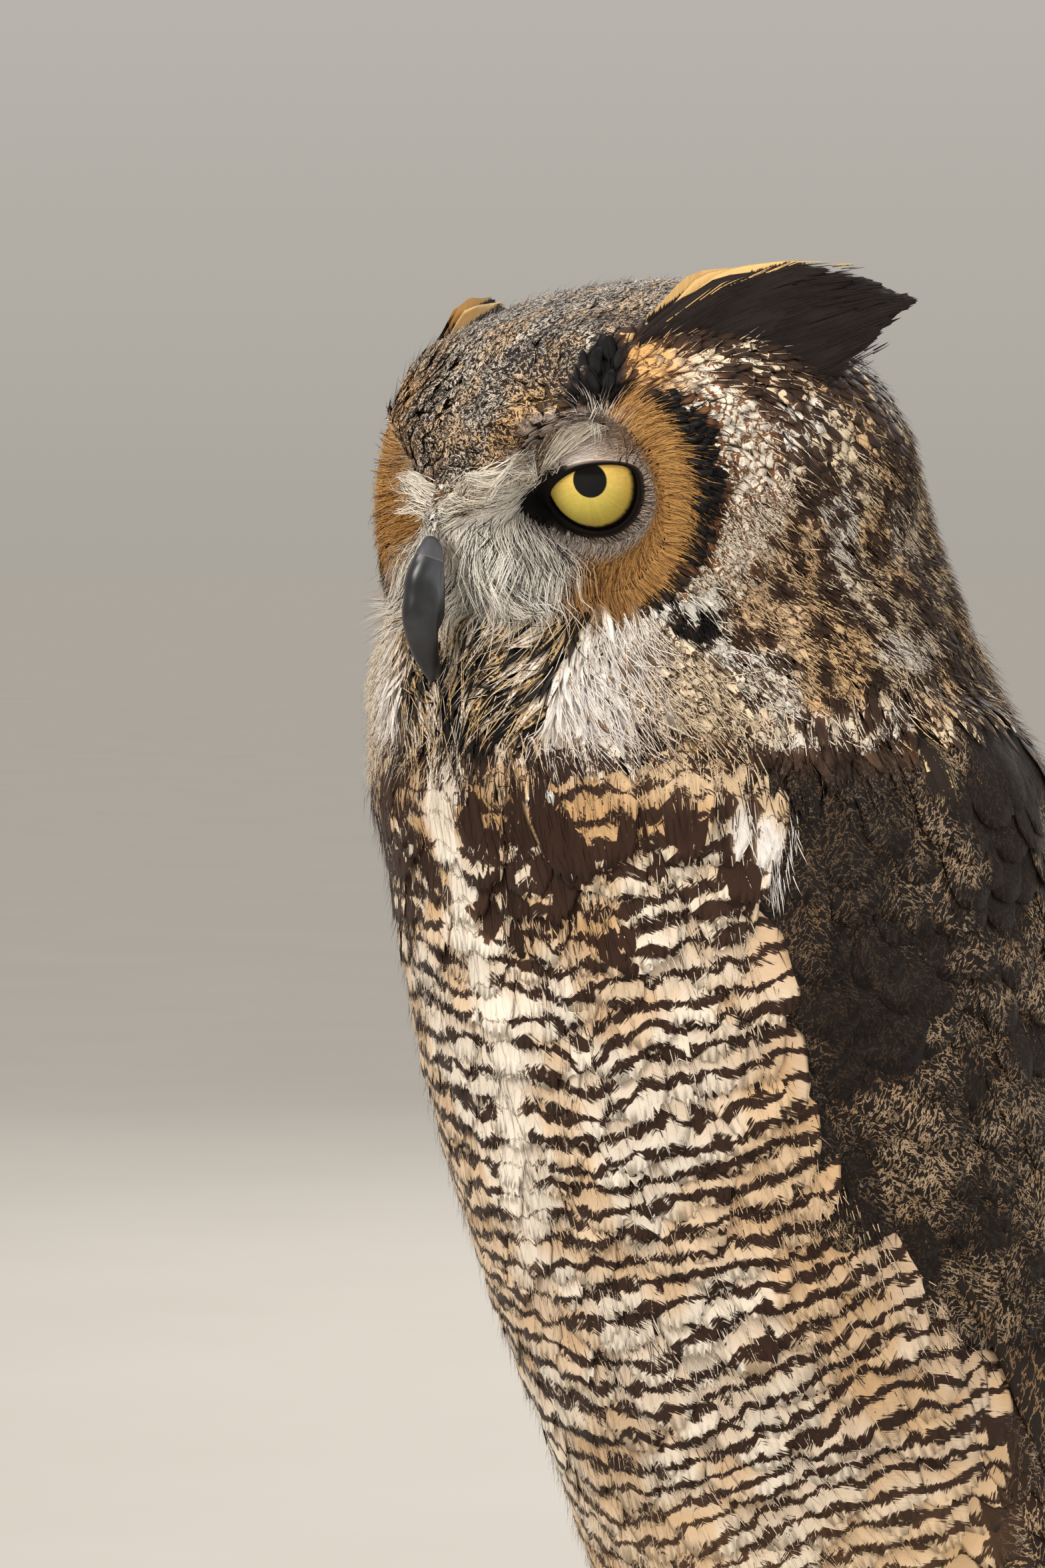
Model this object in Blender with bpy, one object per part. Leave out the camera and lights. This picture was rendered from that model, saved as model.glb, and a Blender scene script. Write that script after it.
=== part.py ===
"""A great horned owl, life size, standing still on a level floor.

Run it with: blender --background --python part.py

Units are metres, +Z is up. The owl's body faces -Y and its left side is +X. Every solid is a
shaped sphere: a UV sphere whose rows become stations along a limb or a body, and whose columns
run round each station's outline. Neighbours are parted by thin gaps, so no two solids touch.
"""

import math

import bmesh
import bpy
import numpy as np
from mathutils import Matrix, Vector

MM = 0.001

# Driving dimensions ---------------------------------------------------------------------------
GAP = 0.45 * MM  # how far a cutter stands out from the piece that it makes room for
FLOOR_SINK = 1.2 * MM  # how much of each sole is cut away to leave a small flat

EYE_LEVEL = 366 * MM  # height of the eyes above the floor
HEAD_YAW = math.radians(-5)  # the head is turned a little to the owl's own right
HEAD_PITCH = math.radians(15)  # and bowed a little
HEAD_HALF_WIDTH = 65 * MM
HEAD_FRONT = 50 * MM
HEAD_BACK = 63 * MM
CROWN_RISE = 52 * MM
CHIN_DROP = 52 * MM
HEAD_SQUARENESS = 2.5  # exponent of the head's outline seen from above
CROWN_SQUARENESS = 2.5  # and seen from in front

EYE_RADIUS = 14.5 * MM
EYE_SIDE = 28 * MM  # from the middle of the face to the middle of an eye
EYE_FORWARD = 36 * MM  # the cornea's front, from the head's centre
EYE_RISE = 15 * MM
EYE_SPLAY = math.radians(27)  # each eye looks this far out to its own side
LID_OPENING = 11.5 * MM  # radius of the opening between the lids
LID_DEPTH = 5.5 * MM  # and how far behind the cornea's front it is

RIGHT_TUFT_SHIFT = (-7, -6, -6)  # in mm: the right ear tuft's tip is this far off the left one's

TAIL_ROOT = Vector((0, 92 * MM, 152 * MM))
TAIL_LENGTH = 205 * MM
TAIL_LEAN = math.radians(44.5)  # from the vertical
NECK_CUT = 288 * MM  # the height at which the neck ends and the trunk begins
HEAD_CUT = 322 * MM  # the height of the head's lower edge on the midline
HEAD_CUT_LEAN = math.radians(12)  # the head's lower edge rises this steeply towards the nape

ANKLE = Vector((29 * MM, 46 * MM, 22 * MM))
TOE_RADIUS = 8.0 * MM
CLAW_RADIUS = 3.3 * MM
CLAW_LENGTH = 27 * MM
CLAW_RISE = math.radians(22)  # a claw leaves its toe pointing this far up
CLAW_CURL = math.radians(98)  # and turns down by this much along its length

# The trunk and neck: height, centre's y, half width, depth in front, depth behind, in mm.
BODY_STATIONS = (
    (58, 70, 3, 3, 3),
    (61, 70, 26, 22, 20),
    (69, 70, 43, 38, 33),
    (86, 71, 56, 53, 42),
    (108, 70, 62, 61, 47),
    (128, 67, 65, 66, 50),
    (146, 62, 66, 70, 54),
    (176, 54, 71, 76, 61),
    (206, 43, 74, 77, 68),
    (236, 34, 76, 77, 72),
    (266, 26, 77, 75, 76),
    (291, 19, 78, 74, 81),
    (308, 12, 76, 68, 84),
    (326, 6, 71, 60, 81),
    (341, 3, 66, 52, 76),
    (356, 1, 62, 44, 71),
    (372, 1, 58, 36, 66),
    (386, 1, 48, 28, 54),
    (396, 1, 30, 18, 34),
    (400, 1, 4, 4, 4),
)

# A wing's outer face: height, centre's y, half width, half depth, front edge and back edge in
# degrees round the body from its side, thickness, in mm.
WING_STATIONS = (
    (316, 16, 76, 74, 2, 30, 2),
    (311, 18, 80, 77, -24, 48, 8),
    (299, 21, 83, 79, -36, 62, 12),
    (266, 28, 84, 79, -40, 74, 13),
    (236, 36, 84, 77, -39, 80, 13),
    (206, 46, 82, 75, -30, 82, 12),
    (178, 56, 77, 72, -14, 82, 11),
    (146, 68, 70, 68, 0, 82, 9),
    (116, 86, 62, 62, 4, 82, 8),
    (91, 108, 50, 52, 4, 80, 7),
    (71, 134, 38, 40, 2, 78, 6),
    (56, 158, 28, 26, 0, 74, 5),
    (44, 188, 20, 8, 0, 50, 3),
)
WING_PARTING = 166 * MM  # below this height the wing is its folded primaries

# A toe: name, direction in degrees from straight ahead towards the outer side, length.
TOES = (
    ("inner", -22, 42 * MM),
    ("middle", 12, 48 * MM),
    ("outer", 72, 40 * MM),
    ("hind", 172, 30 * MM),
)

FINISHES = {
    "plumage_head": ((0.23, 0.16, 0.10), 0.9),
    "plumage_breast": ((0.55, 0.43, 0.31), 0.9),
    "plumage_wing": ((0.12, 0.09, 0.06), 0.85),
    "plumage_leg": ((0.66, 0.52, 0.36), 0.9),
    "horn": ((0.03, 0.032, 0.036), 0.35),
    "eye": ((0.80, 0.58, 0.08), 0.1),
}


# Small tools ----------------------------------------------------------------------------------
def clear_scene():
    for obj in list(bpy.data.objects):
        bpy.data.objects.remove(obj)


def finish_named(name):
    """The material of that name, made the first time it is asked for."""
    material = bpy.data.materials.get(name)
    if material is None:
        colour, roughness = FINISHES[name]
        material = bpy.data.materials.new(name)
        material.use_nodes = True
        shader = material.node_tree.nodes["Principled BSDF"]
        shader.inputs["Base Color"].default_value = (*colour, 1)
        shader.inputs["Roughness"].default_value = roughness
        shader.inputs["Metallic"].default_value = 0
    return material


def smooth_rows(stations):
    """A function of the first column that gives the other columns, along a smooth curve."""
    table = np.array(sorted(stations), float)
    knots, values = table[:, 0], table[:, 1:]
    steps = np.diff(knots)[:, None]
    slopes = np.diff(values, axis=0) / steps
    inner = np.where(slopes[1:] * slopes[:-1] > 0, 2 * slopes[1:] * slopes[:-1], 0)
    inner = np.divide(inner, slopes[1:] + slopes[:-1], out=np.zeros_like(inner), where=inner != 0)
    tangents = np.vstack([slopes[0], inner, slopes[-1]])

    def at(x):
        x = min(max(x, knots[0]), knots[-1])
        i = min(int(np.searchsorted(knots, x, side="right")) - 1, len(knots) - 2)
        width = knots[i + 1] - knots[i]
        t = (x - knots[i]) / width
        ease = t * t * (3 - 2 * t)
        start_pull = t * (1 - t) ** 2 * width
        end_pull = t * t * (t - 1) * width
        return (
            values[i] * (1 - ease)
            + values[i + 1] * ease
            + tangents[i] * start_pull
            + tangents[i + 1] * end_pull
        )

    return at


def shaped_sphere(columns, rows, place, flat_ends=False):
    """A closed mesh: place(turn, share) gives the point at an angle round a row, 0 to 1 along."""
    bm = bmesh.new()
    bmesh.ops.create_uvsphere(bm, u_segments=columns, v_segments=rows, radius=1)
    for vert in bm.verts:
        share = min(max(0.5 - math.asin(max(-1.0, min(1.0, vert.co.z))) / math.pi, 0.0), 1.0)
        turns = [math.atan2(vert.co.y, vert.co.x)]
        if abs(vert.co.z) > 0.9999:
            turns = [quarter * math.pi / 2 for quarter in range(4)]
        vert.co = sum((place(turn, share) for turn in turns), Vector()) / len(turns)
        vert.tag = len(turns) > 1
    if flat_ends:
        bmesh.ops.dissolve_verts(bm, verts=[vert for vert in bm.verts if vert.tag])
    if bm.calc_volume(signed=True) < 0:
        bmesh.ops.reverse_faces(bm, faces=bm.faces)
    bmesh.ops.triangulate(bm, faces=bm.faces, quad_method="SHORT_EDGE")
    mesh = bpy.data.meshes.new("solid")
    bm.to_mesh(mesh)
    bm.free()
    mesh.shade_smooth()
    return mesh


def add_piece(name, mesh, finish, matrix=None):
    """A visible object, which becomes a node."""
    piece = bpy.data.objects.new(name, mesh)
    bpy.context.scene.collection.objects.link(piece)
    if matrix is not None:
        piece.matrix_world = matrix
    piece.data.materials.clear()
    piece.data.materials.append(finish_named(finish))
    return piece


def stand_out(bm, by=GAP):
    """Moves every face of a mesh outwards by the gap."""
    bm.normal_update()
    moves = [vert.normal * by * min(vert.calc_shell_factor(), 2.5) for vert in bm.verts]
    for vert, move in zip(bm.verts, moves, strict=True):
        vert.co += move


def grown(piece):
    """A hidden copy of a piece's own mesh, stood out by a gap, to cut its neighbours with."""
    bm = bmesh.new()
    bm.from_mesh(piece.data)
    stand_out(bm)
    mesh = bpy.data.meshes.new(piece.name + "_cutter")
    bm.to_mesh(mesh)
    bm.free()
    return helper(piece.name + "_cutter", mesh, piece.matrix_world)


def helper(name, mesh, matrix=None):
    cutter = bpy.data.objects.new(name, mesh)
    bpy.context.scene.collection.objects.link(cutter)
    if matrix is not None:
        cutter.matrix_world = matrix
    cutter.hide_render = True
    cutter.display_type = "WIRE"
    return cutter


def box_helper(name, low, high):
    bm = bmesh.new()
    bmesh.ops.create_cube(bm, size=1)
    size = Vector(high) - Vector(low)
    bmesh.ops.scale(bm, vec=size, verts=bm.verts)
    bmesh.ops.translate(bm, vec=(Vector(high) + Vector(low)) / 2, verts=bm.verts)
    mesh = bpy.data.meshes.new(name)
    bm.to_mesh(mesh)
    bm.free()
    return helper(name, mesh)


def combine(piece, other, operation="DIFFERENCE"):
    step = piece.modifiers.new(operation.lower() + "_" + other.name, "BOOLEAN")
    step.operation = operation
    step.solver = "EXACT"
    step.object = other


def rounded(share, sharpness=0.5):
    """1 over most of a limb, falling to 0 at both of its ends along a round nose."""
    end = min(max(min(share, 1 - share) * 2, 0.0), 1.0)
    return (1 - (1 - end) ** 4) ** sharpness


# The head -------------------------------------------------------------------------------------
def head_frame():
    """From head coordinates (left, backwards, up about the head's centre) to the world's."""
    turn = Matrix.Rotation(HEAD_YAW, 4, "Z") @ Matrix.Rotation(HEAD_PITCH, 4, "X")
    eye = turn @ Vector((0, -EYE_FORWARD, EYE_RISE))
    return Matrix.Translation((0, 0, EYE_LEVEL - eye.z)) @ turn


def hill(point, centre, spread):
    """A smooth hill of height 1 at a centre, as wide as the spread along each axis."""
    away = [(p - c) / s for p, c, s in zip(point, centre, spread, strict=True)]
    return math.exp(-sum(a * a for a in away))


def head_point(turn, share):
    """The head's outline: a squarish egg, with the face's ridge, brows, discs and sockets."""
    tilt = math.pi * (0.5 - share)
    across = math.cos(tilt) * math.cos(turn)
    back = math.cos(tilt) * math.sin(turn)
    up = math.sin(tilt)
    depth = HEAD_FRONT if back < 0 else HEAD_BACK
    height = CROWN_RISE * (1 - 0.16 * max(back, 0) ** 2) if up > 0 else CHIN_DROP
    power = HEAD_SQUARENESS if back < 0 else 2.0 + (HEAD_SQUARENESS - 2) * (1 - back) ** 2
    level = (abs(across / HEAD_HALF_WIDTH) ** power + abs(back / depth) ** power) ** (1 / power)
    square = CROWN_SQUARENESS - (0.6 * back if back > 0 else 0)
    point = Vector((across, back, up))
    point *= (level**square + abs(up / height) ** square) ** (-1 / square)
    side = abs(point.x)
    mirrored = (side, point.y, point.z)
    push = 12 * MM * hill((side, point.z), (0, -6 * MM), (11 * MM, 23 * MM)) * (back < 0)
    push += 8 * MM * hill(mirrored, (21 * MM, -45 * MM, 30 * MM), (18 * MM, 16 * MM, 9 * MM))
    push -= 13 * MM * hill(mirrored, (30 * MM, -43 * MM, 14 * MM), (15 * MM, 26 * MM, 14 * MM))
    push += 7 * MM * hill(mirrored, (54 * MM, -28 * MM, 0), (12 * MM, 14 * MM, 30 * MM))
    return point + Vector((0, -push, 0))


def make_head(frame):
    mesh = shaped_sphere(30, 19, head_point)
    return add_piece("head", mesh, "plumage_head", frame)


def eye_frame(frame, side):
    splay = Matrix.Rotation(side * EYE_SPLAY, 4, "Z")
    front = Vector((side * EYE_SIDE, -EYE_FORWARD, EYE_RISE))
    centre = front - splay.to_3x3() @ Vector((0, -EYE_RADIUS, 0))
    return frame @ Matrix.Translation(centre) @ splay


def socket_cutter(name, frame, side):
    """A cone that opens the face round an eye, as wide at its foot as the lids' opening."""
    bm = bmesh.new()
    foot, mouth = EYE_RADIUS - LID_DEPTH, EYE_RADIUS + 14 * MM
    bmesh.ops.create_cone(
        bm, cap_ends=True, segments=16, radius1=LID_OPENING, radius2=LID_OPENING * 1.7,
        depth=mouth - foot,
    )
    aim = Matrix.Rotation(math.radians(90), 4, "X")
    bmesh.ops.transform(
        bm, matrix=Matrix.Translation((0, -(foot + mouth) / 2, 0)) @ aim, verts=bm.verts
    )
    mesh = bpy.data.meshes.new(name)
    bm.to_mesh(mesh)
    bm.free()
    return helper(name, mesh, eye_frame(frame, side))


def make_eye(name, frame, side):
    def place(turn, share):
        tilt = math.pi * (0.5 - share)
        flat = EYE_RADIUS * math.cos(tilt)
        return Vector((flat * math.cos(turn), -EYE_RADIUS * math.sin(tilt), flat * math.sin(turn)))

    return add_piece(name, shaped_sphere(14, 9, place), "eye", eye_frame(frame, side))


# The bill's upper half in head coordinates: share of its length, y and z of its middle line,
# half its depth, half its width, in mm.
BILL_STATIONS = (
    (0.0, -49, -1, 9.4, 8.0),
    (0.3, -59.5, -3.5, 8.7, 7.0),
    (0.6, -65.6, -9.8, 6.7, 5.2),
    (0.85, -68.4, -17.3, 3.6, 2.7),
    (1.0, -68.4, -23.0, 0.6, 0.6),
)
LOWER_BILL_STATIONS = (
    (0.0, -46, -13, 3.4, 5.6),
    (0.5, -54, -15.5, 3.0, 4.8),
    (1.0, -60.5, -18.5, 1.2, 1.6),
)


def make_horn(name, columns, rows, stations, frame):
    """A horn along a curved middle line, with an oval section."""
    row = smooth_rows(stations)

    def place(turn, share):
        y, z, half_depth, half_width = row(share)
        ahead = row(min(share + 0.02, 1.0)) - row(max(share - 0.02, 0.0))
        ahead = Vector((0, ahead[0], ahead[1])).normalized()
        across = Vector((1, 0, 0))
        outward = ahead.cross(across)
        closed = rounded(0.5 * min(share / 0.12, 1)) if share < 0.12 else 1
        wide = across * half_width * math.cos(turn)
        return (Vector((0, y, z)) + (wide + outward * half_depth * math.sin(turn)) * closed) * MM

    return add_piece(name, shaped_sphere(columns, rows, place), "horn", frame)


# An ear tuft in head coordinates: share of its length, x, y and z of its middle line, half its
# width up and down, half its thickness, in mm.
TUFT_STATIONS = (
    (0.0, 31, -31, 30, 6, 3),
    (0.15, 36, -22, 33, 13, 4.5),
    (0.4, 44, -3, 36, 17, 5.5),
    (0.65, 51, 14, 37.5, 16.5, 5),
    (0.85, 58, 29, 38.5, 10, 3.4),
    (1.0, 63, 40, 37.5, 2, 1.2),
)


def make_tuft(name, frame, side):
    """An ear tuft: a flat bundle of long feathers, laid back along the side of the crown."""
    row = smooth_rows(TUFT_STATIONS)

    def place(turn, share):
        x, y, z, spread, thick = row(share)
        own = Vector(RIGHT_TUFT_SHIFT) * (0.4 + 0.6 * share) if side < 0 else Vector()
        upright = Vector((-0.3 * side, 0.12, 0.94))
        flat = Vector((side, 0.25, 0.3)).normalized()
        middle = Vector((side * x, y, z)) + own
        return (middle + upright * spread * math.cos(turn) + flat * thick * math.sin(turn)) * MM

    return add_piece(name, shaped_sphere(10, 9, place), "plumage_head", frame)


# Neck, trunk, wings and tail ------------------------------------------------------------------
BODY_ROW = smooth_rows(BODY_STATIONS)
WING_ROW = smooth_rows(WING_STATIONS)


def body_point(turn, height):
    """A point of the body's outline at a height in mm. Its depth differs in front and behind."""
    centre, half_width, front, back = BODY_ROW(height)
    depth = front if math.sin(turn) < 0 else back
    return (
        Vector((half_width * math.cos(turn), centre + depth * math.sin(turn), height)) * MM
    )


def row_height(share, low, high, crowd=1.0):
    """Rows from high down to low, set closer together near both ends when crowd is under 1."""
    eased = 0.5 - 0.5 * math.cos(math.pi * share)
    return high + (low - high) * (crowd * share + (1 - crowd) * eased)


def body_mesh(columns, rows):
    """The trunk and neck together, up into the head."""
    low, high = BODY_STATIONS[0][0], BODY_STATIONS[-1][0]
    return shaped_sphere(
        columns, rows, lambda turn, share: body_point(turn, row_height(share, low, high, 0.5))
    )


def above_head_cut(name, lift):
    """A box over the slanting cut between head and neck, raised a little along the cut."""
    box = box_helper(name, (-0.2, -0.2, 0), (0.2, 0.2, 0.2))
    box.matrix_world = Matrix.Translation((0, 0, HEAD_CUT + lift)) @ Matrix.Rotation(
        HEAD_CUT_LEAN, 4, "X"
    )
    return box


def wing_point(side, turn, height):
    """A point of a folded wing's section: a thin crescent wrapped round the body."""
    centre, half_width, half_depth, front, back, thick = WING_ROW(height)
    middle, reach = (front + back) / 2, (back - front) / 2
    angle = math.radians(middle + reach * math.cos(turn))
    outward = Vector((math.cos(angle) / half_width, math.sin(angle) / half_depth, 0))
    outward.normalize()
    lift = math.copysign(abs(math.sin(turn)) ** 0.7, math.sin(turn))
    point = Vector((half_width * math.cos(angle), centre + half_depth * math.sin(angle), height))
    point += outward * (lift - 1) * thick / 2
    return Vector((side * point.x, point.y, point.z)) * MM


def make_wing(name, side, low, high, columns, rows):
    """One length of a folded wing, between two heights in mm."""

    def place(turn, share):
        inner = min(max((share - 1 / rows) / (1 - 2 / rows), 0), 1)
        return wing_point(side, turn, row_height(inner, low, high, 1))

    mesh = shaped_sphere(columns, rows, place, flat_ends=True)
    return add_piece(name, mesh, "plumage_wing")


def make_tail():
    """Twelve closed tail feathers, drawn together into one gently cambered blade."""
    along = Vector((0, math.sin(TAIL_LEAN), -math.cos(TAIL_LEAN)))
    above = Vector((0, math.cos(TAIL_LEAN), math.sin(TAIL_LEAN)))

    def place(turn, share):
        spread = (22 + 16 * share) * MM * rounded(share * 0.97 + 0.02, 0.4)
        thick = (6.5 - 4 * share) * MM * rounded(share * 0.98 + 0.015, 0.5)
        wide = spread * math.cos(turn)
        camber = -(wide**2) / (110 * MM)
        return (
            TAIL_ROOT
            + along * TAIL_LENGTH * share
            + Vector((wide, 0, 0))
            + above * (camber + thick * math.sin(turn))
        )

    return add_piece("tail", shaped_sphere(14, 10, place), "plumage_wing")


# Legs and feet --------------------------------------------------------------------------------
def make_leg(name, side):
    """A feathered thigh and shank, from inside the belly down to the ankle."""

    def place(turn, share):
        height = 112 + (14 - 112) * share
        drop = 1 - share
        radius = (13.5 + 17 * drop**1.1) * rounded(share, 0.35)
        centre = Vector((ANKLE.x / MM + 5 * drop, ANKLE.y / MM + 12 * drop, height))
        oval = Vector((radius * math.cos(turn), radius * 1.15 * math.sin(turn), 0))
        point = (centre + oval) * MM
        return Vector((side * point.x, point.y, point.z))

    return add_piece(name, shaped_sphere(14, 9, place), "plumage_leg")


def toe_way(side, degrees):
    angle = math.radians(degrees)
    return Vector((side * math.sin(angle), -math.cos(angle), 0))


def toe_mesh(side, degrees, length):
    """A toe: a low tube with two swellings, running out from under the ankle."""
    way = toe_way(side, degrees)
    across = Vector((-way.y, way.x, 0))
    start = Vector((side * ANKLE.x, ANKLE.y, 0)) + way * 3 * MM

    def place(turn, share):
        swell = 1 + 0.09 * math.cos(share * 5 * math.pi)
        radius = TOE_RADIUS * (1.12 - 0.3 * share) * swell * rounded(share * 0.96 + 0.03, 0.5)
        level = radius_level(share)
        return (
            start
            + way * length * share
            + across * radius * 0.95 * math.cos(turn)
            + Vector((0, 0, level + radius * math.sin(turn)))
        )

    def radius_level(share):
        return TOE_RADIUS * (1.12 - 0.3 * share) - FLOOR_SINK

    return shaped_sphere(7, 6, place)


def make_foot(name, side, floor):
    """Four toes and the ball of the ankle as one solid, with small flats on the floor."""

    def ball(turn, share):
        tilt = math.pi * (0.5 - share)
        size = Vector((12.5, 13.5, 12.5)) * MM
        centre = Vector((side * ANKLE.x, ANKLE.y, 13 * MM))
        across = math.cos(tilt)
        offset = (across * math.cos(turn), across * math.sin(turn), math.sin(tilt))
        return centre + Vector([s * o for s, o in zip(size, offset, strict=True)])

    foot = add_piece(name, shaped_sphere(10, 6, ball), "plumage_leg")
    for toe, degrees, length in TOES:
        combine(foot, helper(f"{name}_{toe}", toe_mesh(side, degrees, length)), "UNION")
    combine(foot, floor)
    return foot


def claw_point(way, turn, share):
    """A point of a claw that grows along the level direction given, from its own root."""
    angle = CLAW_RISE - CLAW_CURL * share
    bend = CLAW_LENGTH / CLAW_CURL
    ahead = bend * (math.sin(CLAW_RISE) - math.sin(angle))
    rise = bend * (math.cos(angle) - math.cos(CLAW_RISE))
    thick = (CLAW_RADIUS * (1 - share**1.5) ** 0.8 + 0.3 * MM) * rounded(share * 0.9 + 0.08, 0.5)
    across = Vector((-way.y, way.x, 0))
    outward = Vector((0, 0, math.cos(angle))) - way * math.sin(angle)
    offset = across * 0.8 * math.cos(turn) + outward * math.sin(turn)
    return way * ahead + Vector((0, 0, rise)) + offset * thick


def make_claws(side_name, side, floor):
    """One long, strongly curved claw on each toe, its point just clear of the floor."""
    claws = []
    drop = CLAW_LENGTH / CLAW_CURL * (math.cos(CLAW_RISE) - math.cos(CLAW_RISE - CLAW_CURL))
    for toe, degrees, length in TOES:
        way = toe_way(side, degrees)
        root = Vector((side * ANKLE.x, ANKLE.y, 0)) + way * (length - 5 * MM)
        root.z = drop + 0.8 * MM

        def place(turn, share, way=way, root=root):
            return root + claw_point(way, turn, share)

        claw = add_piece(f"claw_{side_name}_{toe}", shaped_sphere(6, 8, place), "horn")
        combine(claw, floor)
        claws.append(claw)
    return claws


# The whole owl --------------------------------------------------------------------------------
def part_from(piece, *neighbours):
    """Cuts a piece back so that it clears each neighbour by the gap."""
    for neighbour in neighbours:
        cutter = bpy.data.objects.get(neighbour.name + "_cutter") or grown(neighbour)
        combine(piece, cutter)


def centre_on_origin(pieces, anchor):
    """Puts the middle of the owl's footprint box on the origin, with its soles at height 0."""
    bpy.context.view_layer.update()
    graph = bpy.context.evaluated_depsgraph_get()
    points = []
    for piece in pieces:
        solid = piece.evaluated_get(graph)
        points += [solid.matrix_world @ vert.co for vert in solid.data.vertices]
    middle = [
        (min(point[axis] for point in points) + max(point[axis] for point in points)) / 2
        for axis in range(2)
    ]
    anchor.location = (-middle[0], -middle[1], 0)


def make_body():
    """Trunk, neck and the nape, which are lengths of one form, parted by thin cuts."""
    form = body_mesh(26, 20)
    trunk = add_piece("trunk", form, "plumage_breast")
    combine(trunk, box_helper("above_trunk", (-0.2, -0.2, NECK_CUT - GAP), (0.2, 0.3, 0.6)))
    neck = add_piece("neck", form.copy(), "plumage_breast")
    combine(neck, box_helper("below_neck", (-0.2, -0.2, 0), (0.2, 0.3, NECK_CUT)))
    combine(neck, above_head_cut("above_neck", 0))
    nape = helper("nape", form.copy())
    combine(nape, above_head_cut("above_nape", GAP), "INTERSECT")
    return trunk, neck, nape


def build_owl():
    clear_scene()
    floor = box_helper("floor_cutter", (-0.4, -0.4, -0.2), (0.4, 0.5, 0))
    frame = head_frame()
    head = make_head(frame)
    bill_upper = make_horn("bill_upper", 14, 11, BILL_STATIONS, frame)
    bill_lower = make_horn("bill_lower", 8, 6, LOWER_BILL_STATIONS, frame)
    trunk, neck, nape = make_body()
    tail = make_tail()
    sides = (("left", 1), ("right", -1))
    eyes = [make_eye(f"eye_{word}", frame, side) for word, side in sides]
    tufts = [make_tuft(f"ear_tuft_{word}", frame, side) for word, side in sides]
    top, parting = WING_STATIONS[0][0], WING_PARTING / MM
    tip = WING_STATIONS[-1][0]
    wings = [make_wing(f"wing_{word}", side, parting, top, 16, 12) for word, side in sides]
    quills = [
        make_wing(f"primaries_{word}", side, tip, parting - 0.4, 12, 9) for word, side in sides
    ]
    legs = [make_leg(f"leg_{word}", side) for word, side in sides]
    feet = [make_foot(f"foot_{word}", side, floor) for word, side in sides]

    combine(head, nape, "UNION")
    for word, side in sides:
        combine(head, socket_cutter(f"socket_{word}", frame, side))
    part_from(head, *eyes, bill_upper, bill_lower)
    part_from(bill_lower, bill_upper)
    part_from(neck, head, *tufts, *wings, bill_upper, bill_lower)
    part_from(trunk, *wings, *quills)
    part_from(tail, trunk, *quills)
    combine(tail, floor)
    for tuft in tufts:
        part_from(tuft, head)
    for leg in legs:
        part_from(leg, trunk)
    for foot, leg in zip(feet, legs, strict=True):
        part_from(foot, leg)
    claws = []
    for (word, side), foot in zip(sides, feet, strict=True):
        whole = grown_foot(foot, side)
        for claw in make_claws(word, side, floor):
            combine(claw, whole)
            claws.append(claw)

    pieces = [head, bill_upper, bill_lower, trunk, neck, tail]
    pieces += eyes + tufts + wings + quills + legs + feet + claws
    anchor = bpy.data.objects.new("owl", None)
    bpy.context.scene.collection.objects.link(anchor)
    for obj in list(bpy.data.objects):
        if obj is not anchor:
            obj.parent = anchor
    centre_on_origin(pieces, anchor)


def grown_foot(foot, side):
    """A hidden copy of the toes alone, stood out by the gap, to part the claws from."""
    bm = bmesh.new()
    for _, degrees, length in TOES:
        bm.from_mesh(toe_mesh(side, degrees, length))
    stand_out(bm)
    mesh = bpy.data.meshes.new(foot.name + "_toes_cutter")
    bm.to_mesh(mesh)
    bm.free()
    return helper(foot.name + "_toes_cutter", mesh)


build_owl()
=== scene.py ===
"""A great horned owl in full plumage, life size, standing on a pale studio floor.

The flesh of the frame is covered by one skin, which lies inside it by the depth of the coat.
Feathers are laid over the skin: vanes, which are thin cambered blades, and barbs, which are
fine three-sided hairs. Lengths are in millimetres until a mesh is made.
"""

import math

import bmesh
import bpy
import numpy as np
from mathutils import Matrix, Vector
from mathutils.bvhtree import BVHTree
from mathutils.kdtree import KDTree

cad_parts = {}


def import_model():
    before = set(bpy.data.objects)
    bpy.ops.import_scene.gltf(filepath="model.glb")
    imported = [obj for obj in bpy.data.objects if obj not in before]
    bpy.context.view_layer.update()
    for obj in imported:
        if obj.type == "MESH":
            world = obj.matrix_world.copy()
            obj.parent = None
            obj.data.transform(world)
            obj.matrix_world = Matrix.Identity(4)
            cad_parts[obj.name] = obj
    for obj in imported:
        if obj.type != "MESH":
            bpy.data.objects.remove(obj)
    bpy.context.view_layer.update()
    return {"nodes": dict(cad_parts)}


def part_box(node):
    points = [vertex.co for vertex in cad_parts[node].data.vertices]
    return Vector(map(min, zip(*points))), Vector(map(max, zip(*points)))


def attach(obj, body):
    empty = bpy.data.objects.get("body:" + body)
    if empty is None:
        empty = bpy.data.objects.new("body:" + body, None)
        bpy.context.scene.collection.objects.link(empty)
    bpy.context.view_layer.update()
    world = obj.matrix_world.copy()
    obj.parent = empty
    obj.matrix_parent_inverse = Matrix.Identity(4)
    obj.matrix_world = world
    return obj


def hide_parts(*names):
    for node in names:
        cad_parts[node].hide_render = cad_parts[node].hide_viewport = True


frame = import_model()
MM = 0.001

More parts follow.
